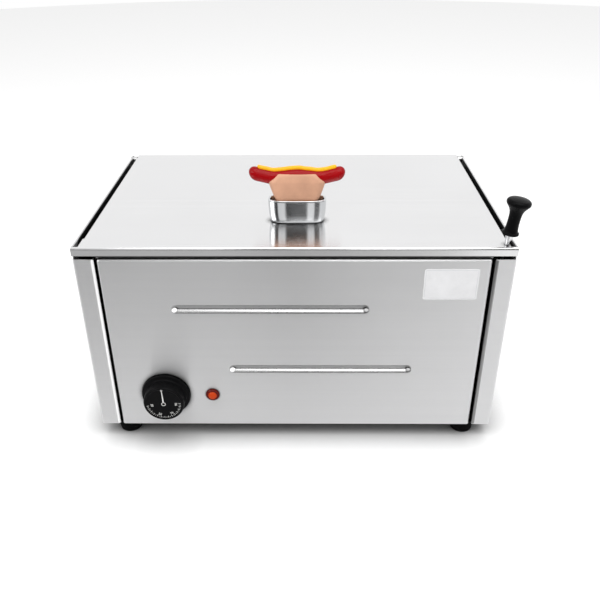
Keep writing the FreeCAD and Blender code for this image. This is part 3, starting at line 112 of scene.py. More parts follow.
def on_panel(name):
    """Centre of a node's box, brought to the front panel's face."""
    low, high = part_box(name)
    return Vector(((low.x + high.x) / 2, panel_face, (low.z + high.z) / 2))


knob_centre = on_panel("control_knob")
lens_centre = on_panel("lamp_lens")


class SteamerFinish(bpy.types.PropertyGroup):
    """Colours and surface finish."""
    steel: bpy.props.FloatVectorProperty(name="Steel", description="Colour of the stainless sheet",
                                         subtype="COLOR", default=(0.78, 0.78, 0.785))
    steel_roughness: bpy.props.FloatProperty(name="Steel roughness", default=0.36, min=0.05, max=1.0,
                                             description="Roughness of the brushed sheet", subtype="FACTOR")
    sausage: bpy.props.FloatVectorProperty(name="Sausage", description="Colour of the handle's sausage",
                                           subtype="COLOR", default=(0.30, 0.002, 0.004))
    mustard: bpy.props.FloatVectorProperty(name="Mustard", description="Colour of the line along the sausage",
                                           subtype="COLOR", default=(0.90, 0.44, 0.01))
    bun: bpy.props.FloatVectorProperty(name="Bun", description="Colour of the handle's bun",
                                       subtype="COLOR", default=(0.62, 0.34, 0.22))
    black: bpy.props.FloatVectorProperty(name="Black", description="Colour of the knob and the pick's grip",
                                         subtype="COLOR", default=(0.0035, 0.0035, 0.0038))
    lamp: bpy.props.FloatVectorProperty(name="Lamp", description="Colour of the pilot lamp's lens",
                                        subtype="COLOR", default=(0.46, 0.045, 0.008))
    label: bpy.props.FloatVectorProperty(name="Label", description="Colour of the blank label",
                                         subtype="COLOR", default=(0.71, 0.71, 0.72))


class SteamerDetail(bpy.types.PropertyGroup):
    """Sizes of the small pieces."""
    ticks: bpy.props.IntProperty(name="Ticks", description="Marks round the lower half of the knob",
                                 default=27, min=3)
    pointer_turn: bpy.props.FloatProperty(name="Pointer turn", description="Lean of the pointer to the left",
                                          default=math.radians(2), subtype="ANGLE")
    flutes: bpy.props.IntProperty(name="Flutes", description="Fine grooves round the knob",
                                  default=90, min=12)
    label_width: bpy.props.FloatProperty(name="Label width", description="Width of the blank label",
                                         default=0.0565, unit="LENGTH")
    label_height: bpy.props.FloatProperty(name="Label height", description="Height of the blank label",
                                          default=0.036, unit="LENGTH")
    post_top: bpy.props.FloatProperty(name="Post top", description="Level of the front posts' upper end",
                                      default=0.230, unit="LENGTH")
    segments: bpy.props.IntProperty(name="Segments", description="Sides of a turned piece",
                                    default=96, min=16)


class SteamerStage(bpy.types.PropertyGroup):
    """Camera, lamps and floor."""
    lens: bpy.props.FloatProperty(name="Lens", description="Focal length in millimetres", default=41.473)
    turn: bpy.props.FloatVectorProperty(name="Turn", description="Camera pitch from below, roll and pan",
                                        default=(1.04688, 0.00417, 0.00837), subtype="EULER")
    place: bpy.props.FloatVectorProperty(name="Place", description="Camera position", unit="LENGTH",
                                         default=(0.01267, -0.77464, 0.54408))
    key: bpy.props.FloatProperty(name="Key lamp", description="Power of the large lamp", default=22.0,
                                 unit="POWER")
    fill: bpy.props.FloatProperty(name="Fill lamp", description="Power of the small lamp", default=6.5,
                                  unit="POWER")
    sky: bpy.props.FloatProperty(name="Room light", description="Strength of the even light", default=0.86)


# Node building

def new_material(name, colour, metallic=0.0, roughness=0.5, **sockets):
    """A material with its shader's own values set."""
    material = bpy.data.materials.new(name)
    material.use_nodes = True
    shader = material.node_tree.nodes["Principled BSDF"]
    shader.inputs["Base Color"].default_value = (*colour, 1.0)
    shader.inputs["Metallic"].default_value = metallic
    shader.inputs["Roughness"].default_value = roughness
    for socket, value in sockets.items():
        shader.inputs[socket.replace("_", " ")].default_value = value
    return material


def place_noise(tree, scale, detail=4.0, roughness=0.6, centre=(0, 0, 0)):
    """Noise in the piece's own coordinates, stretched by a scale on each axis."""
    where = tree.nodes.new("ShaderNodeTexCoord")
    mapping = tree.nodes.new("ShaderNodeMapping")
    mapping.inputs["Scale"].default_value = scale
    mapping.inputs["Location"].default_value = centre
    noise = tree.nodes.new("ShaderNodeTexNoise")
    noise.inputs["Scale"].default_value = 1.0
    noise.inputs["Detail"].default_value = detail
    noise.inputs["Roughness"].default_value = roughness
    tree.links.new(where.outputs["Object"], mapping.inputs["Vector"])
    tree.links.new(mapping.outputs["Vector"], noise.inputs["Vector"])
    return noise.outputs["Fac"]


def ranged(tree, value, low, high, start=0.3, end=0.7):
    """A value stretched from one range to another."""
    node = tree.nodes.new("ShaderNodeMapRange")
    node.inputs["From Min"].default_value = start
    node.inputs["From Max"].default_value = end
    node.inputs["To Min"].default_value = low
    node.inputs["To Max"].default_value = high
    tree.links.new(value, node.inputs["Value"])
    return node.outputs["Result"]


def sum_of(tree, first, second, operation="ADD"):
    """Two values combined."""
    node = tree.nodes.new("ShaderNodeMath")
    node.operation = operation
    for socket, value in zip(node.inputs, (first, second)):
        if isinstance(value, (int, float)):
            socket.default_value = value
        else:
            tree.links.new(value, socket)
    return node.outputs[0]


def blended(tree, amount, first, second):
    """Two colours mixed by an amount."""
    node = tree.nodes.new("ShaderNodeMix")
    node.data_type = "RGBA"
    tree.links.new(amount, node.inputs["Factor"])
    for socket, colour in ((node.inputs["A"], first), (node.inputs["B"], second)):
        if hasattr(colour, "links"):
            tree.links.new(colour, socket)
        else:
            socket.default_value = (*colour, 1.0)
    return node.outputs["Result"]


def bump(tree, height, distance, strength=1.0):
    """A bump from a height."""
    node = tree.nodes.new("ShaderNodeBump")
    node.inputs["Distance"].default_value = distance
    node.inputs["Strength"].default_value = strength
    tree.links.new(height, node.inputs["Height"])
    return node


def levels_along(tree, value, low, high, levels, first):
    """Grey levels along a value that runs from low to high, white at its end."""
    node = tree.nodes.new("ShaderNodeValToRGB")
    tree.links.new(ranged(tree, value, 0.0, 1.0, low, high), node.inputs["Fac"])
    stops = node.color_ramp.elements
    stops[0].position = 0.0
    stops[1].position = 1.0
    for place, level in levels:
        stops.new((place - low) / (high - low)).color = (level, level, level, 1.0)
    stops[0].color = (first, first, first, 1.0)
    stops[-1].color = (*WHITE, 1.0)
    return node.outputs["Color"]


def axes_of(tree, output):
    """X, Y and Z of a texture coordinate."""
    where = tree.nodes.new("ShaderNodeTexCoord")
    split = tree.nodes.new("ShaderNodeSeparateXYZ")
    tree.links.new(where.outputs[output], split.inputs["Vector"])
    return split.outputs


def nearness(tree, distance):
    """How open a point is to its surroundings within a distance."""
    node = tree.nodes.new("ShaderNodeAmbientOcclusion")
    node.inputs["Distance"].default_value = distance
    return node.outputs["AO"]


def join(material, socket, value):
    """Link a value to the material's shader."""
    tree = material.node_tree
    tree.links.new(value, tree.nodes["Principled BSDF"].inputs[socket])


def shade(colour, factor):
    """A colour made darker or lighter."""
    return tuple(min(1.0, part * factor) for part in colour)


def brushed_steel(name, colour, roughness, grain, stain=0.0, depth=(0.4, 0.8)):
    """Sheet metal with fine brush lines, smears, painted shade that darkens its crevices, and stains where
    asked.
    """
    material = new_material(name, colour, metallic=1.0, roughness=roughness, Anisotropic=0.95)
    tree = material.node_tree
    tangent, fine, broad = GRAINS[grain]
    across = tree.nodes.new("ShaderNodeCombineXYZ")
    for socket, value in zip(across.inputs, tangent):
        socket.default_value = value
    join(material, "Tangent", across.outputs["Vector"])
    lines = place_noise(tree, fine, detail=3.0, roughness=0.75)
    bands = place_noise(tree, broad, detail=2.0, centre=(0.37, 0.11, 0.2))
    smears = place_noise(tree, (9, 9, 9), detail=5.0, roughness=0.55, centre=(1.7, 0.4, 2.1))
    join(material, "Roughness", sum_of(tree, ranged(tree, lines, -0.02, 0.02),
                                       ranged(tree, smears, roughness - 0.02, roughness + 0.03)))
    tone = sum_of(tree, ranged(tree, bands, 0.0, 0.3), ranged(tree, lines, 0.0, 0.2))
    tone = sum_of(tree, tone, ranged(tree, smears, 0.0, 0.5, 0.35, 0.65))
    tint = blended(tree, tone, shade(colour, 0.965), shade(colour, 1.025))
    if stain:
        marks = place_noise(tree, (22, 22, 40), detail=8.0, roughness=0.7, centre=(3.1, 0.9, 0.3))
        tint = blended(tree, ranged(tree, marks, 0.0, stain, 0.48, 0.72), tint, (0.42, 0.36, 0.27))
    # Painted shade: the colour runs to black where the AO finds other surfaces close by, in crevices and
    # under overhanging edges.
    painted_crevice_shade = ranged(tree, nearness(tree, 0.014), 0.0, 1.0, *depth)
    join(material, "Base Color", blended(tree, painted_crevice_shade, BLACK, tint))
    height = sum_of(tree, lines, ranged(tree, bands, 0.0, 0.5))
    join(material, "Normal", bump(tree, height, 0.000004, 0.4).outputs["Normal"])
    return material


def moulded(name, colour, roughness, speckle=0.04, texture=0.00004, scale=900, **sockets):
    """Moulded plastic or rubber with a fine surface and slight wear."""
    material = new_material(name, colour, roughness=roughness, **sockets)
    tree = material.node_tree
    fine = place_noise(tree, (scale, scale, scale), detail=2.0)
    wear = place_noise(tree, (45, 45, 45), detail=6.0, roughness=0.6, centre=(0.6, 2.3, 1.1))
    join(material, "Roughness", sum_of(tree, ranged(tree, fine, -0.02, 0.02),
                                       ranged(tree, wear, roughness - speckle, roughness + speckle)))
    join(material, "Base Color", blended(tree, ranged(tree, wear, 0.0, 1.0, 0.25, 0.8), shade(colour, 0.92),
                                         shade(colour, 1.1)))
    join(material, "Normal", bump(tree, fine, texture, 0.6).outputs["Normal"])
    return material


def polished(name, colour, roughness=0.04, metallic=1.0):
    """Plated metal with a faint orange-peel and dust."""
    material = new_material(name, colour, metallic=metallic, roughness=roughness)
    tree = material.node_tree
    peel = place_noise(tree, (160, 160, 160), detail=1.0)
    dust = place_noise(tree, (60, 60, 60), detail=6.0, centre=(0.3, 0.8, 0.1))
    join(material, "Roughness", ranged(tree, dust, roughness, roughness + 0.06, 0.45, 0.8))
    join(material, "Normal", bump(tree, peel, 0.00001, 0.35).outputs["Normal"])
    return material


def metal(name, colour, roughness):
    """Small plated or turned parts."""
    material = new_material(name, colour, metallic=1.0, roughness=roughness)
    tree = material.node_tree
    mottle = place_noise(tree, (240, 240, 240), detail=5.0)
    broad = place_noise(tree, (30, 30, 30), detail=3.0, centre=(0.5, 0.2, 0.9))
    join(material, "Roughness", ranged(tree, mottle, roughness, roughness + 0.1))
    join(material, "Base Color", blended(tree, ranged(tree, broad, 0.0, 1.0), shade(colour, 0.86),
                                         shade(colour, 1.06)))
    join(material, "Normal", bump(tree, mottle, 0.00002, 0.5).outputs["Normal"])
    return material


def repaint(names, material):
    """Give carried-over nodes a finish."""
    for name in names:
        mesh = nodes[name].data
        mesh.materials.clear()
        mesh.materials.append(material)


# Mesh building

def piece(name, mesh_work, material, body, replaced=(), smooth_angle=35):
    """Finish a mesh as one closed piece that rides on a body."""
    bmesh.ops.remove_doubles(mesh_work, verts=mesh_work.verts, dist=0.000001)
    bmesh.ops.recalc_face_normals(mesh_work, faces=mesh_work.faces)
    mesh = bpy.data.meshes.new(name)
    mesh_work.to_mesh(mesh)
    mesh_work.free()
    mesh.shade_smooth()
    mesh.set_sharp_from_angle(angle=math.radians(smooth_angle))
    mesh.materials.append(material)
    made = bpy.data.objects.new(name, mesh)
    bpy.context.scene.collection.objects.link(made)
    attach(made, body)
    if replaced:
        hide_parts(*replaced)
    return made


def spun(outline, steps):
    """A closed turned form about Z from (radius, height) points in millimetres."""
    work = bmesh.new()
    verts = [work.verts.new((radius * MM, 0, height * MM)) for radius, height in outline]
    edges = [work.edges.new(pair) for pair in zip(verts, verts[1:])]
    bmesh.ops.spin(work, geom=verts + edges, cent=(0, 0, 0), axis=(0, 0, 1), angle=math.tau, steps=steps,
                   use_merge=True)
    bmesh.ops.remove_doubles(work, verts=work.verts, dist=0.000001)
    bmesh.ops.recalc_face_normals(work, faces=work.faces)
    return work


def turn_to(work, axis, start):
    """Carry a form made about Z to an axis and a start point."""
    turn = Vector((0, 0, 1)).rotation_difference(Vector(axis)).to_matrix().to_4x4()
    bmesh.ops.transform(work, matrix=Matrix.Translation(start) @ turn, verts=work.verts)
    return work


def rounded(points, radii, steps=6):
    """Outline points with their corners rounded."""
    result = []
    count = len(points)
    for k, (point, radius) in enumerate(zip(points, radii)):
        if not radius or k in (0, count - 1):
            result.append(point)
            continue
        here = Vector(point)
        back = (Vector(points[k - 1]) - here)
        ahead = (Vector(points[k + 1]) - here)
        reach = min(radius, back.length * 0.49, ahead.length * 0.49)
        start = here + back.normalized() * reach
        end = here + ahead.normalized() * reach
        for step in range(steps + 1):
            t = step / steps
            result.append(tuple(start * (1 - t) ** 2 + here * 2 * t * (1 - t) + end * t ** 2))
    return result


def ring(work, half_width, half_depth, corner, height, centre, quarter=12):
    """One level loop of a rounded rectangle, as its edges. A corner under 0 gives its bow power instead."""
    made = bmesh.ops.create_circle(work, cap_ends=False, segments=quarter * 4, radius=1.0)["verts"]
    for k, vert in enumerate(made):
        part, step = divmod(k, quarter)
        angle = math.pi / 2 * (part + step / (quarter - 1))
        if corner < 0:
            angle = math.tau * (k + 0.5) / (quarter * 4)
            across, deep = (math.copysign(abs(share) ** (-2 / corner), share)
                            for share in (math.cos(angle), math.sin(angle)))
            vert.co = Vector((half_width * across, half_depth * deep, height)) * MM
        else:
            side_x = 1 if part in (0, 3) else -1
            side_y = 1 if part in (0, 1) else -1
            vert.co = Vector((side_x * (half_width - corner) + corner * math.cos(angle),
                              side_y * (half_depth - corner) + corner * math.sin(angle), height)) * MM
        vert.co += Vector((*centre, 0))
    return [edge for edge in work.edges if edge.verts[0] in set(made) and edge.verts[1] in set(made)]


def stacked(levels, centre=(0, 0), quarter=12):
    """A closed form through level rounded rectangles of (half width, half depth, corner, height)."""
    work = bmesh.new()
    rings = [ring(work, *level, centre, quarter) for level in levels]
    for lower, upper in zip(rings, rings[1:]):
        bmesh.ops.bridge_loops(work, edges=lower + upper)
    for end in (rings[0], rings[-1]):
        bmesh.ops.contextual_create(work, geom=end)
    return work


def softened(points, x, reach):
    """Height of a line through points at x, with its corners eased over a reach."""
    samples = 13
    total = 0.0
    for k in range(samples):
        place = x + reach * (2 * k / (samples - 1) - 1)
        for (x0, z0), (x1, z1) in zip(points, points[1:]):
            if place <= x1 or (x1, z1) == points[-1]:
                total += z0 + (z1 - z0) * (place - x0) / (x1 - x0)
                break
    return total / samples


def bent_rod(points, radius, length, reach, steps, rings, wave=0.0):
    """A round-ended rod along X whose middle line follows eased points."""
    half = length / 2
    outline = [(0.0, -half)]
    for k in range(1, 9):
        angle = math.pi / 2 * k / 8
        outline.append((radius * math.sin(angle), -half + radius * (1 - math.cos(angle))))
    for k in range(1, rings):
        outline.append((radius, -half + radius + (length - radius * 2) * k / rings))
    outline += [(r, -z) for r, z in reversed(outline[:9])]
    work = spun(outline, steps)
    turn_to(work, (1, 0, 0), (0, 0, 0))
    for vert in work.verts:
        x = vert.co.x / MM
        lift = softened(points, x, reach) + wave * math.sin(x * 0.55)
        vert.co += Vector((*handle_centre, lid_top + lift * MM))
        vert.co.y += wave * 0.5 * math.sin(x * 0.4 + 1) * MM
    return work


class STEAMER_OT_cabinet(bpy.types.Operator):
    """Brushed sheet on the cabinet, rubber on the feet"""
    bl_idname = "steamer.cabinet"
    bl_label = "Cabinet"

    def execute(self, context):
        finish = context.scene.steamer_finish
        detail = context.scene.steamer_detail
        # The front and rear panels get stronger painted shade in their crevices than the other sheets.
        across = brushed_steel("brushed_sheet_across", finish.steel, finish.steel_roughness, "x",
                               depth=(0.55, 0.92))
        sides = brushed_steel("brushed_sheet_sides", finish.steel, finish.steel_roughness, "xy")
        plain = metal("zinc_plate", (0.52, 0.52, 0.53), 0.34)
        repaint(("front_panel", "rear_panel"), across)
        repaint(("side_panel_left", "side_panel_right"), sides)
        repaint(("base_plate", "rim_rail_left", "rim_rail_right", "rim_rail_rear", "rear_panel_screws",
                 "foot_screws", "foot_nuts"), plain)
        rubber = moulded("foot_rubber", (0.003, 0.003, 0.003), 0.6, texture=0.00008, scale=700,
                         Specular_IOR_Level=0.03)
        # Painted highlight: a near-white, mostly diffuse finish for the left post's edge and the beads' left
        # ends.
        painted_highlight = polished("painted_highlight_edge", (0.96, 0.96, 0.96), 0.2, 0.2)
        # Painted shade: a dark copy of the steel for the right post's edge and the beads' right ends.
        shaded = polished("shaded_edge", (0.26, 0.26, 0.26), 0.3)
        # Painted shade: the beads' lips are a darker copy of the sheet's steel, which dims the highlight they
        # catch.
        dimmed_lip = polished("dimmed_lip_steel", (0.46, 0.46, 0.46), 0.26)
        # The posts' inner edges get a strip each: painted highlight on the left, painted shade on the right.
        for side, outward, radius, surface in (("left", -1, 1.7, painted_highlight), ("right", 1, 2.2, shaded)):
            post_low, post_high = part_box("side_panel_" + side)
            inner = post_high.x if outward < 0 else post_low.x
            length = (detail.post_top - post_low.z) / MM - 2 * EDGE_GAP
            outline = [(0, 0), (radius, 0), (radius, length), (0, length)]
            work = spun(rounded(outline, [0, 1.2, 1.2, 0], 4), 32)
            inset = (radius - EDGE_PROUD) * MM
            place = Vector((inner + outward * inset, panel_face + inset, post_low.z + EDGE_GAP * MM))
            bmesh.ops.translate(work, vec=place, verts=work.verts)
            piece("post_edge_" + side, work, surface, "casing")
        # Each bead gets a lip of dimmed steel, a painted highlight at its left end and painted shade at its
        # right end.
        for row, (left, right, height) in enumerate(BEADS):
            work = self.lip(2.4, (left + right) / 2, right - left - 7.0, height - 2.5, 0.0007)
            piece("bead_lip_%d" % (row + 1), work, dimmed_lip, "casing", smooth_angle=60)
            for middle, side, surface in ((left + 3.3, "left", painted_highlight), (right - 2.9, "right", shaded)):
                work = self.lip(2.9, middle, 5.8, height - 1.2, 0.0)
                piece("bead_end_%d_%s" % (row + 1, side), work, surface, "casing", smooth_angle=60)
        for name in ("foot_front_left", "foot_front_right", "foot_rear_left", "foot_rear_right"):
            low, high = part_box(name)
            top = (high.z - low.z) / MM
            outline = rounded([(0, 8), (6, 8), (6, 0), (12.5, 0), (12.9, 3.6), (12.5, 4.2), (13.0, 4.9),
                               (13.4, 9.3), (13.0, 9.9), (13.5, 10.6), (14, top), (0, top)],
                              [0, 0.3, 0.5, 1.5, 0.3, 0.2, 0.3, 0.3, 0.2, 0.3, 0.6, 0], 3)
            centre = ((low.x + high.x) / 2, (low.y + high.y) / 2, 0)
            work = turn_to(spun(outline, detail.segments), (0, 0, 1), centre)
            piece(name + "_ribbed", work, rubber, "casing", (name,))
        return {"FINISHED"}

    def lip(self, radius, middle, length, height, depth):
        """A flat round-ended strip along X that faces up and forward."""
        half = length / 2
        outline = [(0, -half)] + [(radius * math.sin(turn), -half + radius * (1 - math.cos(turn)))
                                  for turn in (math.pi / 2 * k / 6 for k in range(1, 7))]
        outline += [(out, -along) for out, along in reversed(outline)]
        work = turn_to(spun(outline, 24), (1, 0, 0), (0, 0, 0))
        bmesh.ops.scale(work, vec=(1, LIP_FLATNESS, 1), verts=work.verts)
        bmesh.ops.rotate(work, cent=(0, 0, 0), matrix=Matrix.Rotation(LIP_TILT, 3, "X"), verts=work.verts)
        bmesh.ops.translate(work, vec=(middle * MM, panel_face + depth, height * MM), verts=work.verts)
        return work


class STEAMER_OT_lid(bpy.types.Operator):
    """Brushed sheet on the lid, plated steel on its hinge"""
    bl_idname = "steamer.lid"
    bl_label = "Lid"

    def execute(self, context):
        finish = context.scene.steamer_finish
        # Painted light: the lid's steel is 6 per cent lighter than the cabinet's, so the lid reads brighter.
        sheet = brushed_steel("brushed_lid", shade(finish.steel, 1.06), finish.steel_roughness - 0.21, "x")
        repaint(("lid_panel",), sheet)
        repaint(("hinge_pins", "hinge_spacers", "hinge_bosses", "hinge_clips", "handle_stud", "handle_washer",
                 "handle_nut"), metal("hinge_steel", (0.60, 0.60, 0.60), 0.26))
        return {"FINISHED"}


class STEAMER_OT_handle(bpy.types.Operator):
    """Chromed cup, bun, sausage and mustard line"""
    bl_idname = "steamer.handle"
    bl_label = "Handle"

    def execute(self, context):
        finish = context.scene.steamer_finish
        top = lid_top / MM
        chrome = polished("chrome_plate", (0.70, 0.71, 0.72))
        levels = [(*halves, CUP_BOW, top + rise) for *halves, rise in CUP_LEVELS]
        work = stacked(levels, handle_centre, 24)
        piece("chromed_cup", work, chrome, "lid", ("handle_cup",), smooth_angle=60)

        bun = moulded("bun_plastic", finish.bun, 0.5, speckle=0.07, texture=0.0001, scale=260,
                      Specular_IOR_Level=0.25)
        tree = bun.node_tree
        toast = place_noise(tree, (34, 60, 26), detail=5.0, centre=(0.2, 0.5, 0.1))
        join(bun, "Base Color", blended(tree, ranged(tree, toast, 0.0, 1.0), shade(finish.bun, 0.86),
                                        shade(finish.bun, 1.12)))
        floor = top + CUP_FLOOR
        levels = [(*row, floor + rise) for *row, rise in BUN_LEVELS]
        piece("soft_bun", stacked(levels, handle_centre), bun, "lid", ("handle_bun",),
              smooth_angle=60)

        red = moulded("sausage_gloss", finish.sausage, 0.14, speckle=0.03, texture=0.00002, scale=500,
                      Specular_IOR_Level=0.14)
        piece("sausage", bent_rod(SAUSAGE_LINE, 7.5, 101.2, 6.8, 48, 90), red, "lid",
              ("handle_sausage",), smooth_angle=80)
        yellow = moulded("mustard_gloss", finish.mustard, 0.2, speckle=0.03, texture=0.00002, scale=500,
                         Specular_IOR_Level=0.3)
        raised = [(x, z + MUSTARD_RISE) for x, z in SAUSAGE_LINE]
        piece("mustard_line", bent_rod(raised, 2.4, 83.0, 5.0, 32, 90, wave=0.12), yellow, "lid",
              ("handle_mustard",), smooth_angle=80)
        return {"FINISHED"}


class STEAMER_OT_pick(bpy.types.Operator):
    """Moulded grip of the bun pick, bright steel below it"""
    bl_idname = "steamer.pick"
    bl_label = "Bun pick"

    def execute(self, context):
        finish = context.scene.steamer_finish
        detail = context.scene.steamer_detail
        axis = Vector((math.sin(PICK_LEAN), 0, math.cos(PICK_LEAN)))
        seat = Vector((*PICK_SEAT, lid_top / MM)) * MM + axis * 12 * MM
        outline = rounded([(0, 0), (8.6, 0), (8.6, 2.2), (7.1, 2.8), (6.2, 7.5), (5.9, 16), (6.5, 25),
                           (12.1, 32.2), (12.1, 34.8), (10.4, 36.6), (5.0, 37.6), (0, 37.8)],
                          [0, 0.7, 0.6, 0.5, 4.0, 5.0, 5.0, 1.0, 1.0, 1.5, 2.5, 0], 6)
        work = turn_to(spun(outline, detail.segments), axis, seat)
        black = moulded("grip_plastic", finish.black, 0.28, speckle=0.06, texture=0.00003, scale=650,
                        Specular_IOR_Level=0.05)
        piece("moulded_grip", work, black, "pick", ("pick_grip",), smooth_angle=50)
        repaint(("pick_ferrule", "pick_spike"), polished("bright_steel", (0.66, 0.66, 0.67), 0.1))
        return {"FINISHED"}


class STEAMER_OT_knob(bpy.types.Operator):
    """Fluted knob with its pointer, tick marks and plain numbers"""
    bl_idname = "steamer.knob"
    bl_label = "Control knob"

    def execute(self, context):
        finish = context.scene.steamer_finish
        detail = context.scene.steamer_detail
        black = moulded("knob_plastic", shade(finish.black, 1.1), 0.32, speckle=0.07, texture=0.00003,
                        scale=800, Specular_IOR_Level=0.05)
        face = KNOB_FACE
        outline = rounded([(0, face - 0.8), (19.6, face - 0.8), (20.4, face), (21.2, face),
                           (22.5, face - 1.5), (22.5, 5.2), (23.6, 4.4), (27, 3.6), (27, 1), (20.1, 1),
                           (20.1, 15), (7, 15), (7, 4), (3.2, 4), (3.2, 14.2), (0, 14.2)],
                          [0, 0.5, 0.4, 0.5, 1.0, 0.6, 0.5, 0.7, 0.5, 0.3, 0.8, 0.8, 0.5, 0.3, 0.3, 0], 4)
        work = spun(outline, detail.flutes * 2)
        for vert in work.verts:
            radius = math.hypot(vert.co.x, vert.co.y) / MM
            if radius > 22.3 and 5.6 < vert.co.z / MM < face - 2.2:
                turn = math.atan2(vert.co.y, vert.co.x) / math.tau * detail.flutes * 2
                if round(turn) % 2:
                    vert.co.xy *= 1 - 0.35 / 22.5
        piece("fluted_knob", turn_to(work, (0, -1, 0), knob_centre), black, "knob",
              ("control_knob",), smooth_angle=28)
        white = moulded("mark_white", (0.74, 0.74, 0.72), 0.5, texture=0.00001)
        work = bmesh.new()
        for k in range(detail.ticks):
            turn = math.radians(189 + 174 * k / (detail.ticks - 1))
            long_mark = k % 2 == 0
            length = 2.4 if long_mark else 1.6
            self.bar(work, turn, 19.2 - length, 19.2, 0.42 if long_mark else 0.3, face - 0.78)
        turn = math.pi / 2 + detail.pointer_turn
        self.bar(work, turn, 2.0, 17.4, 1.5, face - 0.78, 0.45)
        for centre, radius, wide in ((18.6, 1.1, 0.45), (0.0, 2.4, 0.6)):
            at = Vector((math.cos(turn), math.sin(turn), 0)) * centre * MM
            inner = radius - wide
            loop = spun([(radius, 0), (radius, 0.12), (inner, 0.12), (inner, 0), (radius, 0)], 28)
            bmesh.ops.translate(loop, vec=at + Vector((0, 0, (face - 0.82) * MM)), verts=loop.verts)
            self.merge(work, loop)
        piece("knob_marks", turn_to(work, (0, -1, 0), knob_centre), white, "knob",
              smooth_angle=30)
        for text, turn, out in DIAL:
            self.number(text, math.radians(turn), out, face - 0.8, white)
        repaint(("thermostat_shaft",), metal("shaft_steel", (0.6, 0.6, 0.6), 0.3))
        return {"FINISHED"}

    def bar(self, work, turn, inner, outer, width, height, taper=1.0):
        """One thin raised bar on the knob's face, narrower at its outer end by a taper."""
        made = bmesh.ops.create_cube(work, size=1.0)["verts"]
        for vert in made:
            if vert.co.x > 0:
                vert.co.y *= taper
        bmesh.ops.scale(work, vec=((outer - inner) * MM, width * MM, 0.16 * MM), verts=made)
        bmesh.ops.translate(work, vec=((outer + inner) / 2 * MM, 0, height * MM), verts=made)
        bmesh.ops.rotate(work, cent=(0, 0, 0), matrix=Matrix.Rotation(turn, 3, "Z"), verts=made)

    def merge(self, work, other):
        """Add one working mesh to another."""
        mesh = bpy.data.meshes.new("working")
        other.to_mesh(mesh)
        other.free()
        work.from_mesh(mesh)
        bpy.data.meshes.remove(mesh)

    def number(self, text, turn, radius, height, material):
        """A plain number on the knob's face, as a mesh."""
        curve = bpy.data.curves.new("dial_" + text, "FONT")
        curve.body = text
        curve.size = 3.9 * MM
        curve.align_x = "CENTER"
        curve.align_y = "CENTER"
        curve.extrude = 0.07 * MM
        curve.resolution_u = 3
        holder = bpy.data.objects.new("dial_text_" + text, curve)
        bpy.context.scene.collection.objects.link(holder)
        bpy.context.view_layer.update()
        mesh = bpy.data.meshes.new_from_object(holder.evaluated_get(bpy.context.evaluated_depsgraph_get()))
        bpy.data.objects.remove(holder)
        bpy.data.curves.remove(curve)
        work = bmesh.new()
        work.from_mesh(mesh)
        bpy.data.meshes.remove(mesh)
        at = Vector((math.cos(turn), math.sin(turn), 0)) * radius * MM + Vector((0, 0, height * MM))
        upright = Matrix.Rotation(turn + math.pi / 2, 3, "Z")
        bmesh.ops.rotate(work, cent=(0, 0, 0), matrix=upright, verts=work.verts)
        bmesh.ops.translate(work, vec=at, verts=work.verts)
        piece("dial_" + text, turn_to(work, (0, -1, 0), knob_centre), material, "knob",
              smooth_angle=30)


class STEAMER_OT_lamp(bpy.types.Operator):
    """Red pilot lamp with a faceted lens"""
    bl_idname = "steamer.lamp"
    bl_label = "Pilot lamp"

    def execute(self, context):
        finish = context.scene.steamer_finish
        detail = context.scene.steamer_detail
        ring_plastic = moulded("lamp_ring_red", (0.10, 0.006, 0.004), 0.2, texture=0.00001,
                               Specular_IOR_Level=0.15)
        repaint(("lamp_bezel",), ring_plastic)
        outline = rounded([(0, 0), (4.9, 0), (4.9, 2.9), (3.9, 4.4), (2.0, 5.05), (0, 5.2)],
                          [0, 0.2, 0.8, 0.9, 1.0, 0], 4)
        work = turn_to(spun(outline, detail.segments // 2), (0, -1, 0), lens_centre)
        lens = moulded("lamp_lens_red", finish.lamp, 0.12, texture=0.00002, scale=400,
                       Specular_IOR_Level=0.08)
        shader = lens.node_tree.nodes["Principled BSDF"]
        shader.inputs["Emission Color"].default_value = (1.0, 0.13, 0.03, 1.0)
        shader.inputs["Emission Strength"].default_value = 0.05
        piece("glowing_lens", work, lens, "casing", ("lamp_lens",), smooth_angle=50)
        return {"FINISHED"}


class STEAMER_OT_label(bpy.types.Operator):
    """Blank pale label with a fine border, stuck on the front panel"""
    bl_idname = "steamer.label"
    bl_label = "Blank label"

    def execute(self, context):
        finish = context.scene.steamer_finish
        detail = context.scene.steamer_detail
        paper = moulded("label_film", finish.label, 0.38, speckle=0.05, texture=0.00001)
        line = moulded("label_border", (0.55, 0.56, 0.58), 0.4, texture=0.00001)
        half = (detail.label_width / 2 / MM, detail.label_height / 2 / MM)
        work = stacked([(half[0], half[1], 2.5, 0), (half[0], half[1], 2.5, 0.14),
                        (half[0] - 0.08, half[1] - 0.08, 2.4, 0.2)])
        self.lay(work, 0.0)
        piece("blank_label", work, paper, "casing", smooth_angle=30)
        work = bmesh.new()
        ring(work, half[0] - 1.6, half[1] - 1.6, 1.6, 0, (0, 0))
        face = bmesh.ops.contextual_create(work, geom=work.edges[:])["faces"]
        border = bmesh.ops.inset_region(work, faces=face, thickness=0.35 * MM, use_boundary=True,
                                        use_even_offset=True)["faces"]
        bmesh.ops.delete(work, geom=face, context="FACES")
        bmesh.ops.solidify(work, geom=border, thickness=0.06 * MM)
        self.lay(work, 0.25)
        piece("label_edge_line", work, line, "casing", smooth_angle=30)
        return {"FINISHED"}

    def lay(self, work, lift):
        """Carry a flat form to the label's place on the front panel."""
        place = Vector((LABEL_CENTRE[0], panel_face - lift * MM, LABEL_CENTRE[1]))
        matrix = Matrix.Translation(place) @ Matrix.Rotation(math.pi / 2, 4, "X")
        bmesh.ops.transform(work, matrix=matrix, verts=work.verts)


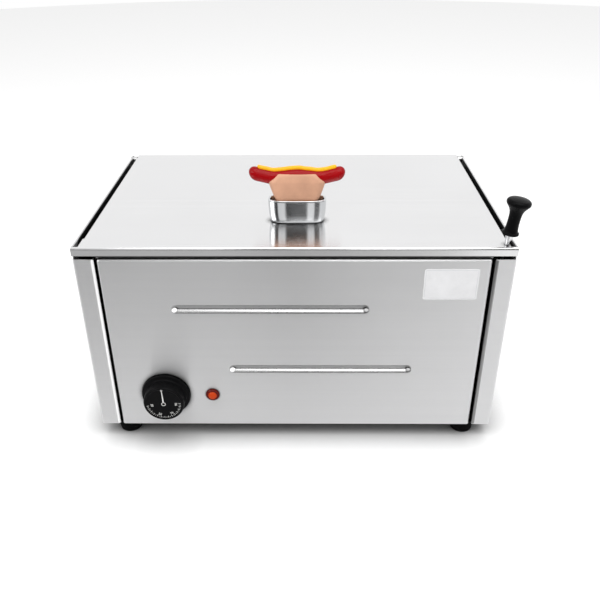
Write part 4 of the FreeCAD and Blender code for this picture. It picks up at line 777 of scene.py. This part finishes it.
class STEAMER_OT_inside(bpy.types.Operator):
    """Tank, pans, heater, controls and wiring parts"""
    bl_idname = "steamer.inside"
    bl_label = "Inside"

    def execute(self, context):
        finish = context.scene.steamer_finish
        repaint(("water_tank",),
                brushed_steel("tank_sheet", shade(finish.steel, 0.95), 0.33, "x", stain=0.35))
        repaint(("sausage_pan", "bun_pan", "pan_bar"),
                brushed_steel("pan_sheet", finish.steel, 0.27, "y", stain=0.12))
        heater = metal("heater_sheath", (0.30, 0.27, 0.24), 0.38)
        tree = heater.node_tree
        scale_marks = place_noise(tree, (55, 55, 55), detail=7.0, roughness=0.7)
        join(heater, "Base Color", blended(tree, ranged(tree, scale_marks, 0.0, 1.0, 0.42, 0.66),
                                           (0.24, 0.20, 0.17), (0.52, 0.50, 0.46)))
        repaint(("heating_element",), heater)
        repaint(("element_flanges", "element_nuts", "terminal_screws", "earth_stud", "earth_nut"),
                metal("turned_brass", (0.70, 0.50, 0.22), 0.28))
        repaint(("thermostat_bulb",), metal("copper_tube", (0.72, 0.36, 0.22), 0.28))
        repaint(("thermostat_screws", "bulb_clip"), metal("zinc_screw", (0.58, 0.58, 0.58), 0.3))
        repaint(("thermostat_body", "lamp_body", "lamp_clip", "cable_gland", "gland_nut"),
                moulded("black_housing", (0.02, 0.02, 0.021), 0.45, texture=0.00006, scale=600))
        repaint(("terminal_block",), moulded("pale_block", (0.66, 0.63, 0.55), 0.5, texture=0.00005))
        return {"FINISHED"}


class STEAMER_OT_stage(bpy.types.Operator):
    """Floor, lamps, room light and camera"""
    bl_idname = "steamer.stage"
    bl_label = "Stage"

    def execute(self, context):
        stage = context.scene.steamer_stage
        scene = context.scene
        work = bmesh.new()
        bmesh.ops.create_circle(work, cap_ends=True, segments=128, radius=4.0)
        mesh = bpy.data.meshes.new("studio_floor")
        work.to_mesh(mesh)
        work.free()
        floor = bpy.data.objects.new("studio_floor", mesh)
        scene.collection.objects.link(floor)
        floor.location.z = -0.0002
        mesh.materials.append(self.floor_material())
        self.lamp("key_lamp", (0.35, -0.6, 2.0), (0.03, 0.0, 0.15), 1.8, stage.key)
        self.lamp("fill_lamp", (-1.3, -0.9, 1.1), (0.0, 0.0, 0.12), 0.9, stage.fill)
        self.room(scene, stage)
        camera_data = bpy.data.cameras.new("camera")
        camera_data.lens = stage.lens
        camera_data.sensor_width = 36.0
        camera_data.clip_start = 0.01
        camera = bpy.data.objects.new("camera", camera_data)
        camera.location = stage.place
        camera.rotation_euler = stage.turn
        scene.collection.objects.link(camera)
        scene.camera = camera
        scene.view_settings.view_transform = "Standard"
        return {"FINISHED"}

    def lamp(self, name, place, target, size, power):
        """A soft square lamp that faces a point."""
        data = bpy.data.lights.new(name, "AREA")
        data.shape = "SQUARE"
        data.size = size
        data.energy = power
        made = bpy.data.objects.new(name, data)
        made.location = place
        made.rotation_euler = (Vector(target) - Vector(place)).to_track_quat("-Z", "Y").to_euler()
        bpy.context.scene.collection.objects.link(made)

    def seen(self, tree):
        """One where a ray comes from the camera, a mirror or glass, and the ray's kinds."""
        path = tree.nodes.new("ShaderNodeLightPath")
        both = sum_of(tree, path.outputs["Is Camera Ray"], path.outputs["Is Glossy Ray"], "MAXIMUM")
        return sum_of(tree, both, path.outputs["Is Transmission Ray"], "MAXIMUM"), path

    def floor_material(self):
        """Pale floor that stays white where no shadow falls, with painted shadow close to the object and
        painted reflection levels in mirrors.
        """
        material = new_material("floor_paint", (0.8, 0.8, 0.8), roughness=0.9, Specular_IOR_Level=0.0)
        tree = material.node_tree
        seen, path = self.seen(tree)
        at = axes_of(tree, "Object")
        # Painted reflection: in mirrors the floor runs lighter towards the right, paler just in front of the
        # object, and darker far ahead and behind it, lighting and shading the sheet's reflections.
        gloss = levels_along(tree, at["X"], -0.5, 0.5, FLOOR_SIDES, FLOOR_SIDES[0][1])
        gloss = blended(tree, ranged(tree, at["Y"], 0.0, 0.6, -0.62, -0.16), gloss, WHITE)
        gloss = blended(tree, ranged(tree, at["Y"], 0.85, 0.0, -1.0, -0.45), gloss, (0.2, 0.2, 0.2))
        gloss = blended(tree, ranged(tree, at["Y"], 0.0, 1.0, -0.1, 0.1), gloss, (0.5, 0.5, 0.5))
        # Painted shadow: seen from the camera, the floor darkens towards black where the AO finds the object
        # close by.
        shadow = blended(tree, nearness(tree, 0.05), BLACK, WHITE)
        view = blended(tree, path.outputs["Is Camera Ray"], gloss, shadow)
        join(material, "Base Color", blended(tree, seen, (0.78, 0.78, 0.78), view))
        return material

    def room(self, scene, stage):
        """Even light with a white backdrop, darker behind the camera."""
        world = bpy.data.worlds.new("studio_room")
        scene.world = world
        world.use_nodes = True
        tree = world.node_tree
        even = tree.nodes["Background"]
        even.inputs["Color"].default_value = (*WHITE, 1.0)
        even.inputs["Strength"].default_value = stage.sky
        backdrop = tree.nodes.new("ShaderNodeBackground")
        seen, path = self.seen(tree)
        at = axes_of(tree, "Generated")
        ahead = sum_of(tree, at["Y"], -1.0, "MULTIPLY")
        aside = sum_of(tree, at["X"], sum_of(tree, ahead, 0.02, "MAXIMUM"), "DIVIDE")
        strips = levels_along(tree, aside, -1.0, 1.0, STRIPS, 1.0)
        front = sum_of(tree, ranged(tree, ahead, 0.0, 1.0, 0.1, 0.3),
                       ranged(tree, at["Z"], 1.0, 0.0, 0.68, 0.82), "MULTIPLY")
        wall = blended(tree, ranged(tree, at["Z"], 1.0, 0.0, 0.14, 0.3), strips, (0.12, 0.12, 0.12))
        tone = blended(tree, front, WHITE, wall)
        view = blended(tree, path.outputs["Is Camera Ray"], tone, WHITE)
        tree.links.new(view, backdrop.inputs["Color"])
        mix = tree.nodes.new("ShaderNodeMixShader")
        tree.links.new(seen, mix.inputs["Fac"])
        tree.links.new(even.outputs["Background"], mix.inputs[1])
        tree.links.new(backdrop.outputs["Background"], mix.inputs[2])
        tree.links.new(mix.outputs["Shader"], tree.nodes["World Output"].inputs["Surface"])


class STEAMER_PT_tools(bpy.types.Panel):
    """Steamer pieces in the sidebar"""
    bl_label = "Hot dog steamer"
    bl_space_type = "VIEW_3D"
    bl_region_type = "UI"
    bl_category = "Steamer"

    def draw(self, context):
        for operator in OPERATORS:
            self.layout.operator(operator.bl_idname)


GROUPS = (SteamerFinish, SteamerDetail, SteamerStage)
OPERATORS = (STEAMER_OT_cabinet, STEAMER_OT_lid, STEAMER_OT_handle, STEAMER_OT_pick, STEAMER_OT_knob,
             STEAMER_OT_lamp, STEAMER_OT_label, STEAMER_OT_inside, STEAMER_OT_stage)
CLASSES = GROUPS + OPERATORS + (STEAMER_PT_tools,)


def register():
    for cls in CLASSES:
        bpy.utils.register_class(cls)
    bpy.types.Scene.steamer_finish = bpy.props.PointerProperty(type=SteamerFinish)
    bpy.types.Scene.steamer_detail = bpy.props.PointerProperty(type=SteamerDetail)
    bpy.types.Scene.steamer_stage = bpy.props.PointerProperty(type=SteamerStage)


def unregister():
    del bpy.types.Scene.steamer_stage
    del bpy.types.Scene.steamer_detail
    del bpy.types.Scene.steamer_finish
    for cls in reversed(CLASSES):
        bpy.utils.unregister_class(cls)


def main():
    register()
    for operator in OPERATORS:
        group, name = operator.bl_idname.split(".")
        getattr(getattr(bpy.ops, group), name)()


if __name__ == "__main__":
    main()
